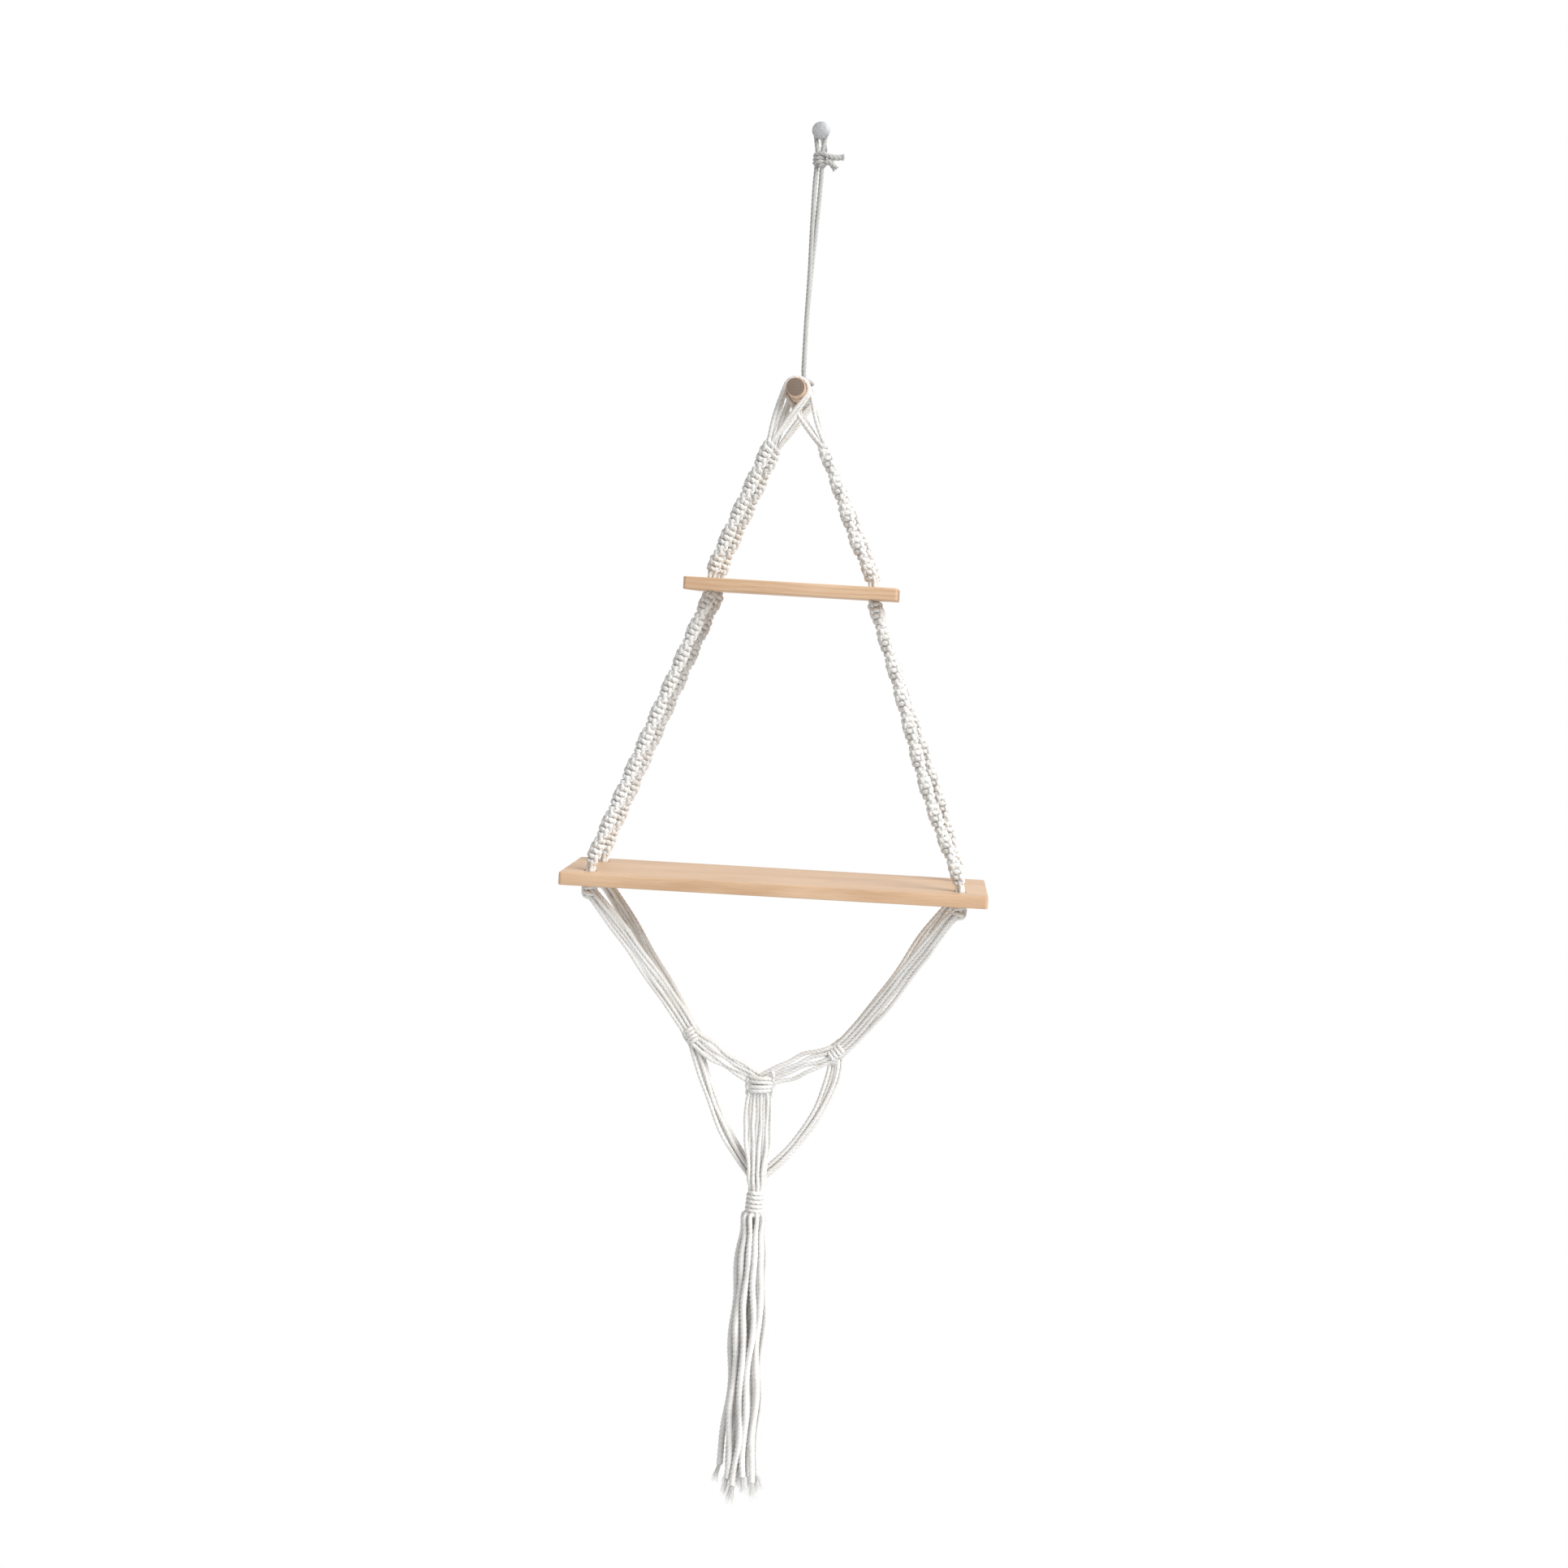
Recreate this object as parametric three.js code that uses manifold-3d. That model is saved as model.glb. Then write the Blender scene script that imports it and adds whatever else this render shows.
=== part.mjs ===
// Hanging rope shelf: two wooden planks threaded on four spiral sinnets of cotton cord, whose cords are folded
// over a short bar, with a doubled hanging cord above it and an open net and a tassel below.
// Millimetres, +Z up, +X right, +Y to the wall. The origin is the middle of the nail's shank, where the eye hangs.
import * as THREE from 'three';
import { mergeVertices } from 'three/addons/utils/BufferGeometryUtils.js';
import Module from 'manifold-3d';

// Driving dimensions
const cordDiameter = 4;
const seatGap = 0.3;
const weldTolerance = 1e-4;

const nail = {
  shankDiameter: 5,
  headDiameter: 17,
  headRim: 1.6,
  headDome: 2.2,
  eyeClearance: 1.5,
  wallGap: 2,
  inWall: 22,
  pointLength: 8,
};

const hangerKnot = { drop: 27.8, height: 16.5, width: 13, depth: 11 };
const hangerTails = [
  { out: 21.5, drop: 23.8, diameter: 4.6 },
  { out: 15.5, drop: 34, diameter: 4.6 },
];
const legs = { topSpread: 5.2, widestSpread: 5.6, widestDrop: 50, crossDrop: 135, splitDrop: 230, footOffset: -3.5 };

const bar = { diameter: 18, length: 134, drop: 253, offset: -6, chamfer: 1 };
const cordGroupSpread = 80;
// Where the cords folded over the bar come together, and a sinnet's knots begin
const gather = { drop: 300, spread: 46, offset: -4 };

const upperPlank = { width: 200, drop: 440, holeInset: 24 };
const lowerPlank = { width: 400, drop: 721, holeInset: 26 };
const plankDepth = 130;
const plankThickness = 12;
const plankEdge = 0.8;
const plankCorner = 2;
const holeDiameter = 12;

const sinnet = { width: 14, thickness: 9, neckDiameter: 9.4, halfTurn: 28.5, headLength: 10, neckLength: 9 };
const stopKnot = { width: 15, height: 12 };

const sideKnot = { along: 15, width: 17, depth: 13 };
// The knots of the net: each x from the middle, and each drop below the lower plank
const leftKnotPlace = { x: -74, drop: 150 };
const rightKnotPlace = { x: 65, drop: 159 };
const centreKnot = { x: -5.6, drop: 194, width: 31, height: 21, depth: 11 };
const junctionKnot = { x: -4, drop: 287, width: 23, height: 16, depth: 17 };

const neck = { topDiameter: 17, footDiameter: 20, length: 26 };
const tassel = { length: 262, halfWidth: 17, halfDepth: 14 };
const strand = { rootDiameter: 3.8, frayDiameter: 5.6, frayLength: 14 };

// Shares of the sizes above
const bandValleyShare = 0.6;
const branchWidthShare = 0.95;
const lowerBranchShare = 0.85;
const leadSeatShare = 0.56;
const gatheredDropShare = 0.55;
const gatheredBranchShare = 0.5;

// Colours of the wood and cotton, and the nail's metal
const woodColour = 0xd9b48c;
const barColour = 0xb98a62;
const cottonColour = 0xf0ece4;
const metalColour = 0x9a9ca0;

const cordRadius = cordDiameter / 2;
const layerShift = (cordDiameter + seatGap) / 2;
const up = new THREE.Vector3(0, 0, 1);
const down = new THREE.Vector3(0, 0, -1);
const acrossDepth = new THREE.Vector3(0, 1, 0);
const shelf = new THREE.Group();
shelf.name = 'hanging_rope_shelf';

const wasm = await Module();
wasm.setup();

const cotton = () => new THREE.MeshStandardMaterial({ color: cottonColour, roughness: 0.9, metalness: 0 });
const wood = (color) => new THREE.MeshStandardMaterial({ color, roughness: 0.6, metalness: 0 });

function place(name, geometry, material, position = new THREE.Vector3()) {
  const mesh = new THREE.Mesh(geometry, material);
  mesh.name = name;
  mesh.position.copy(position);
  shelf.add(mesh);
  return mesh;
}

// Closed skin over rings of points that run counter-clockwise round the direction of travel
function skin(rings, capFaces) {
  const count = rings[0].length;
  const index = [];
  for (let k = 0; k + 1 < rings.length; k++) {
    for (let i = 0; i < count; i++) {
      const next = (i + 1) % count;
      const [a, b] = [k * count + i, k * count + next];
      index.push(a, b, a + count, b, b + count, a + count);
    }
  }
  const last = (rings.length - 1) * count;
  for (const [a, b, c] of capFaces) {
    index.push(c, b, a);
    index.push(last + a, last + b, last + c);
  }
  const geometry = new THREE.BufferGeometry();
  const places = rings.flat().flatMap((p) => [p.x, p.y, p.z]);
  geometry.setAttribute('position', new THREE.Float32BufferAttribute(places, 3));
  geometry.setIndex(index);
  geometry.computeVertexNormals();
  return geometry;
}

// Lofts a section along a route. sectionAt(k, travelled, whole) gives the section's points [a, b]: a runs along
// the reference direction and b square to it and to the route. Each end is cut square to its own way, where given.
function loft(route, sectionAt, reference, startWay, endWay) {
  const travelled = [0];
  for (let k = 1; k < route.length; k++) {
    travelled.push(travelled[k - 1] + route[k].distanceTo(route[k - 1]));
  }
  const whole = travelled[route.length - 1];
  const rings = route.map((point, k) => {
    const before = route[Math.max(k - 1, 0)];
    const after = route[Math.min(k + 1, route.length - 1)];
    const own = (k === 0 && startWay) || (k === route.length - 1 && endWay) || after.clone().sub(before);
    const tangent = own.clone().normalize();
    const a = reference.clone().addScaledVector(tangent, -reference.dot(tangent)).normalize();
    const b = tangent.clone().cross(a);
    const section = sectionAt(k, travelled[k], whole);
    return section.map(([p, q]) => point.clone().addScaledVector(a, p).addScaledVector(b, q));
  });
  const outline = sectionAt(0, 0, whole).map(([p, q]) => new THREE.Vector2(p, q));
  return skin(rings, THREE.ShapeUtils.triangulateShape(outline, []));
}

function circleSection(radius, sides = 8) {
  return Array.from({ length: sides }, (_, i) => {
    const angle = (2 * Math.PI * i) / sides;
    return [radius * Math.cos(angle), radius * Math.sin(angle)];
  });
}

// Flat band of cords side by side, with a ridge for each cord: wide along a, thick along b
function bandSection(cords, widthShare = 1, thicknessShare = 1) {
  const valley = cordRadius * bandValleyShare;
  const half = [];
  for (let i = 0; i < cords; i++) {
    const crown = (i - (cords - 1) / 2) * cordDiameter;
    half.push([crown, cordRadius]);
    if (i < cords - 1) {
      half.push([crown + cordRadius, valley]);
    }
  }
  const edge = (cords * cordDiameter) / 2;
  const top = half.slice().reverse();
  const bottom = half.map(([p, q]) => [p, -q]);
  const outline = [[edge, 0], ...top, [-edge, 0], ...bottom];
  return outline.map(([p, q]) => [p * widthShare, q * thicknessShare]);
}

// The same band with its width square to the reference direction, turned so that it still runs counter-clockwise
const uprightBand = (...how) => bandSection(...how).map(([p, q]) => [-q, p]);

function straightRoute(start, end, steps) {
  return Array.from({ length: steps + 1 }, (_, k) => start.clone().lerp(end, k / steps));
}

// Smooth route between two ends whose directions are known; the reach shares say how long each end keeps straight
function hangingRoute(start, startWay, end, endWay, steps, startReach = 0.3, endReach = 0.3) {
  const span = start.distanceTo(end);
  const curve = new THREE.CubicBezierCurve3(
    start,
    start.clone().addScaledVector(startWay, span * startReach),
    end.clone().addScaledVector(endWay, -span * endReach),
    end,
  );
  return curve.getSpacedPoints(steps);
}

function plainTube(points, steps, sides = 8) {
  const section = new THREE.Shape(circleSection(cordRadius, sides).map(([p, q]) => new THREE.Vector2(p, q)));
  const path = new THREE.CatmullRomCurve3(points, false, 'centripetal');
  return new THREE.ExtrudeGeometry(section, { steps, extrudePath: path, bevelEnabled: false });
}

function toSolid(geometry) {
  const bare = geometry.index ? geometry.toNonIndexed() : geometry.clone();
  bare.deleteAttribute('normal');
  bare.deleteAttribute('uv');
  const welded = mergeVertices(bare, weldTolerance);
  const triangles = [];
  for (let i = 0; i < welded.index.count; i += 3) {
    const [a, b, c] = [0, 1, 2].map((k) => welded.index.getX(i + k));
    if (a !== b && b !== c && c !== a) {
      triangles.push(a, b, c);
    }
  }
  const vertProperties = new Float32Array(welded.attributes.position.array);
  return new wasm.Manifold(new wasm.Mesh({ numProp: 3, vertProperties, triVerts: new Uint32Array(triangles) }));
}

function toGeometry(solid) {
  const mesh = solid.getMesh();
  const geometry = new THREE.BufferGeometry();
  geometry.setAttribute('position', new THREE.Float32BufferAttribute(mesh.vertProperties, 3));
  geometry.setIndex(new THREE.Uint32BufferAttribute(mesh.triVerts, 1));
  geometry.computeVertexNormals();
  return geometry;
}

// Takes off everything past a plane: point is on the plane, outward its normal
function trimmed(geometry, point, outward, size) {
  const block = new THREE.BoxGeometry(size, size, size);
  block.translate(0, 0, size / 2);
  block.applyQuaternion(new THREE.Quaternion().setFromUnitVectors(up, outward.clone().normalize()));
  block.translate(point.x, point.y, point.z);
  return toGeometry(toSolid(geometry).subtract(toSolid(block)));
}

// Knot that shows its turns of cord: flat at both ends, its axis along Z, centred on the origin
function turnedKnot(width, depth, height, turns, segments = 12) {
  const turnHeight = height / turns;
  const bulge = turnHeight / 2;
  const profile = [[0, -height / 2]];
  for (let i = 0; i < turns; i++) {
    const middle = -height / 2 + (i + 0.5) * turnHeight;
    for (const angle of [-70, -25, 25, 70]) {
      const lean = THREE.MathUtils.degToRad(angle);
      profile.push([width / 2 - bulge + bulge * Math.cos(lean), middle + bulge * Math.sin(lean)]);
    }
  }
  profile[1][1] = -height / 2;
  profile[profile.length - 1][1] = height / 2;
  profile.push([0, height / 2]);
  const knot = new THREE.LatheGeometry(profile.map(([r, z]) => new THREE.Vector2(r, z)), segments);
  knot.rotateX(Math.PI / 2);
  knot.scale(1, depth / width, 1);
  return knot;
}

// Wall nail: shank along Y, head in front of the eye
function buildNail() {
  const headBack = cordRadius + nail.eyeClearance;
  const wall = plankDepth / 2 + nail.wallGap;
  const tip = wall + nail.inWall;
  const [shank, head] = [nail.shankDiameter / 2, nail.headDiameter / 2];
  const dome = [0, 0.4, 0.75, 1].map((share) => [
    head * Math.sin((share * Math.PI) / 2),
    headBack + nail.headRim + nail.headDome * Math.cos((share * Math.PI) / 2),
  ]);
  const body = [[head, headBack], [shank, headBack], [shank, -tip + nail.pointLength], [0, -tip]];
  const profile = [...dome, ...body].map(([r, along]) => new THREE.Vector2(r, along));
  const geometry = new THREE.LatheGeometry(profile.reverse(), 20);
  geometry.rotateX(Math.PI);
  const metal = new THREE.MeshStandardMaterial({ color: metalColour, roughness: 0.45, metalness: 0.8 });
  place('wall_nail', geometry, metal);
}

// Eye of the hanging cord: over the shank, both sides down to the knot
function buildEye() {
  const radius = nail.shankDiameter / 2 + seatGap + cordRadius;
  const knotTop = -hangerKnot.drop + hangerKnot.height / 2;
  const footSpread = layerShift + seatGap / 2;
  const foot = knotTop + seatGap;
  const side = [
    [footSpread, foot],
    [footSpread + (radius - footSpread) * 0.35, foot * 0.7],
    [radius, foot * 0.15],
  ];
  const over = [];
  for (let angle = 20; angle <= 160; angle += 20) {
    const turn = THREE.MathUtils.degToRad(angle);
    over.push([radius * Math.cos(turn), radius * Math.sin(turn)]);
  }
  const points = [...side, ...over, ...side.map(([x, z]) => [-x, z]).reverse()];
  place('hanging_eye', plainTube(points.map(([x, z]) => new THREE.Vector3(x, 0, z)), 16), cotton());
}

function buildHangerKnot() {
  const knot = toSolid(turnedKnot(hangerKnot.width, hangerKnot.depth, hangerKnot.height, 3));
  const tails = hangerTails.map(({ out, drop, diameter }) => {
    const tip = new THREE.Vector3(out, 0, hangerKnot.drop - drop);
    const root = new THREE.Vector3(hangerKnot.width / 4, 0, tip.z / 2);
    const route = straightRoute(root, tip, 4);
    return toSolid(loft(route, (k) => circleSection((diameter / 2) * [1, 1, 1, 1.1, 1.3][k]), acrossDepth));
  });
  const whole = tails.reduce((body, tail) => body.add(tail), knot);
  place('hanging_knot', toGeometry(whole), cotton(), new THREE.Vector3(0, 0, -hangerKnot.drop));
}

// Two legs of the hanging cord. Their domed tops are centred on the fore and aft swing's axis. They start side
// by side and turn a quarter round each other, so that they meet the bar one behind the other.
const legPivotDrop = hangerKnot.drop + hangerKnot.height / 2 + seatGap + cordRadius;

function legRoute(side) {
  const straightDrop = (legs.crossDrop + legs.splitDrop) / 2;
  const points = [
    [legs.topSpread / 2, 0, legPivotDrop],
    [legs.widestSpread / 2, 0, legs.widestDrop],
    [legs.widestSpread * 0.34, layerShift * 0.6, (legs.widestDrop + legs.crossDrop) / 2],
    [legs.widestSpread * 0.1, layerShift, legs.crossDrop],
    [0, layerShift, straightDrop],
    [0, layerShift, legs.splitDrop - seatGap],
  ];
  return points.map(([x, y, drop]) => {
    const leant = Math.min(1, (drop - legPivotDrop) / (straightDrop - legPivotDrop));
    return new THREE.Vector3(legs.footOffset * leant + side * x, side * y, -drop);
  });
}

function domedTube(route, radius) {
  const dome = [15, 45, 70].map((degrees) => THREE.MathUtils.degToRad(degrees));
  const start = route[1].clone().sub(route[0]).normalize();
  const cap = dome.map((lean) => route[0].clone().addScaledVector(start, -radius * Math.cos(lean)));
  const radii = dome.map((lean) => radius * Math.sin(lean));
  return loft([...cap, ...route], (k) => circleSection(k < radii.length ? radii[k] : radius), acrossDepth);
}

function buildLegs() {
  for (const [name, side] of [['left', -1], ['right', 1]]) {
    const route = new THREE.CatmullRomCurve3(legRoute(side), false, 'centripetal').getSpacedPoints(10);
    place(`hanging_cord_${name}`, domedTube(route, cordRadius), cotton());
  }
}

const barPlace = new THREE.Vector3(bar.offset, 0, -bar.drop);
const wrapRadius = bar.diameter / 2 + seatGap + cordRadius;
const onWrap = (radius, degrees, y) => {
  const turn = THREE.MathUtils.degToRad(degrees);
  return new THREE.Vector3(barPlace.x + radius * Math.cos(turn), y, barPlace.z + radius * Math.sin(turn));
};

function buildBar() {
  const [half, radius] = [bar.length / 2, bar.diameter / 2];
  const profile = [[0, -half], [radius - bar.chamfer, -half], [radius, -half + bar.chamfer]];
  const mirrored = profile.map(([r, along]) => [r, -along]).reverse();
  const points = [...profile, ...mirrored].map(([r, along]) => new THREE.Vector2(r, along));
  place('top_bar', new THREE.LatheGeometry(points, 24), wood(barColour), barPlace);
}

// Lark's head on the bar: each leg goes once round under the bar, and the fold crosses in front of both
function buildHitch() {
  const landing = THREE.MathUtils.radToDeg(Math.acos(-bar.offset / wrapRadius));
  const outer = wrapRadius + cordDiameter + seatGap;
  const pitch = cordDiameter + seatGap;
  const foldAngle = landing - 14;
  const rear = [new THREE.Vector3(legs.footOffset, layerShift, -legs.splitDrop)];
  const bend = new THREE.Vector3(legs.footOffset * 0.8, layerShift, (barPlace.z + wrapRadius - legs.splitDrop) / 2);
  rear.push(bend);
  const steps = 14;
  const sweep = 360 - (95 - landing);
  for (let k = 0; k <= steps; k++) {
    const y = layerShift + pitch * Math.min(1, (1.25 * k) / steps);
    rear.push(onWrap(wrapRadius, landing - (sweep * k) / steps, y));
  }
  rear.push(onWrap((wrapRadius + outer) / 2, landing + 14, layerShift + pitch));
  rear.push(onWrap(outer, foldAngle + 6, layerShift + pitch * 0.6));
  const front = rear.map((p) => new THREE.Vector3(p.x, -p.y, p.z)).reverse();
  const fold = onWrap(outer, foldAngle, 0);
  place('bar_hitch', plainTube([...rear, fold, ...front], 56), cotton());
}

const plankTop = (plank) => -plank.drop + plankThickness / 2;
const plankUnderside = (plank) => -plank.drop - plankThickness / 2;
const holeAt = (plank, side) => side * (plank.width / 2 - plank.holeInset);

// A sinnet's first point under the bar, and its way to the upper plank. The two sinnets of a row lie beside
// each other on the bar.
function gatherOf(side, rowY) {
  const shift = side * (cordDiameter + seatGap / 2);
  const point = new THREE.Vector3(gather.offset + (side * gather.spread) / 2, rowY + shift, -gather.drop);
  const turning = new THREE.Vector3(holeAt(upperPlank, side), point.y, plankTop(upperPlank) + sinnet.neckLength);
  return { point, way: turning.sub(point).normalize() };
}

// The angle at which a cord that comes straight from a point touches the bar's left (-1) or right (1) side
function touchAngle(side, point) {
  const [dx, dz] = [point.x - barPlace.x, point.z - barPlace.z];
  const lean = Math.acos(wrapRadius / Math.hypot(dx, dz));
  const angle = THREE.MathUtils.radToDeg(Math.atan2(dz, dx) + side * lean);
  return side < 0 && angle < 0 ? angle + 360 : angle;
}

// Two cords side by side, up one side of the bar, over it and down the other side to the sinnet's first knot
function buildSaddle(rowName, sideName, side, rowY) {
  const { point, way } = gatherOf(side, rowY);
  const right = way.clone().cross(acrossDepth);
  const [leftEnd, rightEnd] = [-1, 1].map((leg) =>
    point.clone().addScaledVector(right, leg * layerShift).addScaledVector(way, -seatGap));
  const [start, finish] = [touchAngle(-1, leftEnd), touchAngle(1, rightEnd)];
  const steps = 10;
  const over = Array.from({ length: steps + 1 }, (_, k) =>
    onWrap(wrapRadius, start + ((finish - start) * k) / steps, point.y));
  const upLeft = straightRoute(leftEnd, over[0], 2).slice(0, 2);
  const downRight = straightRoute(over[steps], rightEnd, 2).slice(1);
  const saddle = loft([...upLeft, ...over, ...downRight], () => bandSection(2), acrossDepth, way.clone().negate(), way);
  place(`saddle_${rowName}_${sideName}`, saddle, cotton());
}

const ringsPerHalfTurn = 4;

// Section of a sinnet at one place: round at a soft start and at its foot, and between them an oval that turns
function sinnetSection(travelled, whole, softStart, startTurn) {
  const neckStart = whole - plankThickness - sinnet.neckLength;
  const toNeck = THREE.MathUtils.smoothstep(travelled, neckStart - sinnet.headLength / 2, neckStart);
  const open = softStart ? THREE.MathUtils.smoothstep(travelled, 0, sinnet.headLength) : 1;
  const neckRadius = sinnet.neckDiameter / 2;
  const full = [sinnet.width / 2, sinnet.thickness / 2];
  const [wide, thick] = full.map((size) => neckRadius + (size - neckRadius) * open * (1 - toNeck));
  const plain = softStart ? sinnet.headLength / 2 : 0;
  const turn = startTurn + (Math.PI * Math.max(0, travelled - plain)) / sinnet.halfTurn;
  return circleSection(1).map(([p, q]) => {
    const [a, b] = [p * wide, q * thick];
    return [a * Math.cos(turn) - b * Math.sin(turn), a * Math.sin(turn) + b * Math.cos(turn)];
  });
}

function sinnetRoute(start, hole, rowY, plank) {
  const top = plankTop(plank);
  const steps = Math.round((ringsPerHalfTurn * Math.hypot(hole - start.x, top - start.z)) / sinnet.halfTurn);
  const turning = new THREE.Vector3(hole, rowY, top + sinnet.neckLength);
  const mouth = new THREE.Vector3(hole, rowY, top);
  const foot = new THREE.Vector3(hole, rowY, plankUnderside(plank));
  const leaning = start.clone().lerp(turning, 1 - (2 * sinnet.neckLength) / start.distanceTo(turning));
  const bend = new THREE.QuadraticBezierCurve3(leaning, turning, mouth).getPoints(4);
  return [...straightRoute(start, leaning, steps), ...bend.slice(1), ...straightRoute(mouth, foot, 2).slice(1)];
}

function buildSinnets(rowName, sideName, side, rowY) {
  const { point, way } = gatherOf(side, rowY);
  const upperRoute = sinnetRoute(point, holeAt(upperPlank, side), rowY, upperPlank);
  const upper = loft(upperRoute, (k, s, whole) => sinnetSection(s, whole, true, 0), acrossDepth, way, down);
  place(`upper_sinnet_${rowName}_${sideName}`, upper, cotton());

  const start = new THREE.Vector3(holeAt(upperPlank, side), rowY, plankUnderside(upperPlank) - seatGap);
  const lowerRoute = sinnetRoute(start, holeAt(lowerPlank, side), rowY, lowerPlank);
  const lower = loft(lowerRoute, (k, s, whole) => sinnetSection(s, whole, false, 0.5), acrossDepth, down, down);
  place(`lower_sinnet_${rowName}_${sideName}`, lower, cotton());
}

function roundedRectangle(width, depth, corner) {
  const shape = new THREE.Shape();
  const [x, y] = [width / 2 - corner, depth / 2 - corner];
  shape.absarc(x, -y, corner, -Math.PI / 2, 0);
  shape.absarc(x, y, corner, 0, Math.PI / 2);
  shape.absarc(-x, y, corner, Math.PI / 2, Math.PI);
  shape.absarc(-x, -y, corner, Math.PI, 1.5 * Math.PI);
  return shape;
}

function buildPlank(name, plank) {
  const shape = roundedRectangle(plank.width - 2 * plankEdge, plankDepth - 2 * plankEdge, plankCorner);
  for (const x of [-1, 1]) {
    for (const y of [-1, 1]) {
      const hole = new THREE.Path();
      const [along, across] = [holeAt(plank, x), (y * cordGroupSpread) / 2];
      hole.absarc(along, across, holeDiameter / 2 + plankEdge, 0, 2 * Math.PI, true);
      shape.holes.push(hole);
    }
  }
  const geometry = new THREE.ExtrudeGeometry(shape, {
    depth: plankThickness - 2 * plankEdge,
    bevelEnabled: true,
    bevelThickness: plankEdge,
    bevelSize: plankEdge,
    bevelSegments: 1,
    curveSegments: 4,
  });
  geometry.translate(0, 0, -plankThickness / 2 + plankEdge);
  place(name, geometry, wood(woodColour), new THREE.Vector3(0, 0, -plank.drop));
}

function buildStopKnots() {
  const top = plankUnderside(lowerPlank) - seatGap;
  for (const [rowName, row] of [['front', -1], ['rear', 1]]) {
    for (const [sideName, side] of [['left', -1], ['right', 1]]) {
      const knot = turnedKnot(stopKnot.width, stopKnot.width, stopKnot.height, 2);
      const position = new THREE.Vector3(holeAt(lowerPlank, side), (row * cordGroupSpread) / 2, top);
      position.z -= stopKnot.height / 2;
      place(`stop_knot_${rowName}_${sideName}`, knot, cotton(), position);
    }
  }
}

// The net's sides. leave is the way the cords leave the stop knots, and lead, upper and lower are their ways into
// and out of the side knot, as unit directions in the picture plane.
const unit = (x, z) => new THREE.Vector3(x, 0, z).normalize();
const netSides = [
  {
    name: 'left',
    side: -1,
    at: leftKnotPlace,
    leave: unit(0.66, -0.75),
    lead: unit(0.53, -0.85),
    upper: unit(0.78, -0.62),
    lower: unit(0.3, -0.95),
  },
  {
    name: 'right',
    side: 1,
    at: rightKnotPlace,
    leave: unit(-0.7, -0.71),
    lead: unit(-0.76, -0.65),
    upper: unit(-0.88, -0.42),
    lower: unit(0.05, -1),
  },
];
const knotCentre = ({ x, drop }) => new THREE.Vector3(x, 0, -lowerPlank.drop - drop);

function buildSideKnot({ name, at, lead, upper, lower }) {
  const reach = sideKnot.along / 2;
  const centre = knotCentre(at);
  const knot = turnedKnot(sideKnot.width, sideKnot.depth, sideKnot.along, 3);
  knot.applyQuaternion(new THREE.Quaternion().setFromUnitVectors(up, lead.clone().negate()));
  const cut = [upper, lower].reduce(
    (body, way) => trimmed(body, way.clone().multiplyScalar(reach), way, 2 * sideKnot.width),
    knot,
  );
  place(`side_knot_${name}`, cut, cotton(), centre);
}

function buildLeads({ name, side, at, leave, lead }) {
  const reach = sideKnot.along / 2 + seatGap;
  const knotMiddle = plankUnderside(lowerPlank) - seatGap - stopKnot.height / 2;
  for (const [rowName, row] of [['front', -1], ['rear', 1]]) {
    const start = new THREE.Vector3(holeAt(lowerPlank, side), (row * cordGroupSpread) / 2, knotMiddle);
    start.addScaledVector(leave, stopKnot.width * leadSeatShare + seatGap);
    const end = knotCentre(at).addScaledVector(lead, -reach);
    end.y = row * layerShift;
    const route = hangingRoute(start, leave, end, lead, 7, 0.12, 0.2);
    const section = (k, s, whole) => {
      const spread = THREE.MathUtils.smoothstep(s, 0, whole / 4);
      return uprightBand(4, 0.7 + 0.3 * spread, 1.6 - 0.6 * spread);
    };
    place(`net_lead_${rowName}_${name}`, loft(route, section, acrossDepth, leave, lead), cotton());
  }
}

const centrePoint = knotCentre(centreKnot);
const junctionPoint = knotCentre(junctionKnot);
const frontLayer = new THREE.Vector3(0, -layerShift, 0);
const rearLayer = new THREE.Vector3(0, layerShift, 0);
const branchSeat = { centre: centreKnot.height * 0.53, junction: junctionKnot.height * 0.5 };
const centreWays = { left: unit(0.87, -0.5), right: unit(-0.87, -0.45) };
const junctionWays = { left: unit(0.66, -0.75), right: unit(-0.74, -0.67) };

function buildBranches({ name, at, upper, lower }) {
  const reach = sideKnot.along / 2 + seatGap;
  const upperStart = knotCentre(at).addScaledVector(upper, reach).add(frontLayer);
  const upperWay = centreWays[name];
  const upperEnd = centrePoint.clone().addScaledVector(upperWay, -branchSeat.centre - seatGap).add(frontLayer);
  const upperRoute = hangingRoute(upperStart, upper, upperEnd, upperWay, 6);
  const flatBand = () => uprightBand(4, branchWidthShare);
  place(`upper_branch_${name}`, loft(upperRoute, flatBand, acrossDepth, upper, upperWay), cotton());

  const lowerStart = knotCentre(at).addScaledVector(lower, reach).add(rearLayer);
  const lowerWay = junctionWays[name];
  const lowerEnd = junctionPoint.clone().addScaledVector(lowerWay, -branchSeat.junction - seatGap);
  lowerEnd.y = junctionKnot.depth / 4;
  const lowerRoute = hangingRoute(lowerStart, lower, lowerEnd, lowerWay, 9);
  const section = (k, s, whole) => {
    const gathered = THREE.MathUtils.smoothstep(s, whole * 0.7, whole);
    const width = lowerBranchShare + (gatheredBranchShare - lowerBranchShare) * gathered;
    return uprightBand(4, width, 1 + 0.6 * gathered);
  };
  place(`lower_branch_${name}`, loft(lowerRoute, section, acrossDepth, lower, lowerWay), cotton());
}

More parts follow.
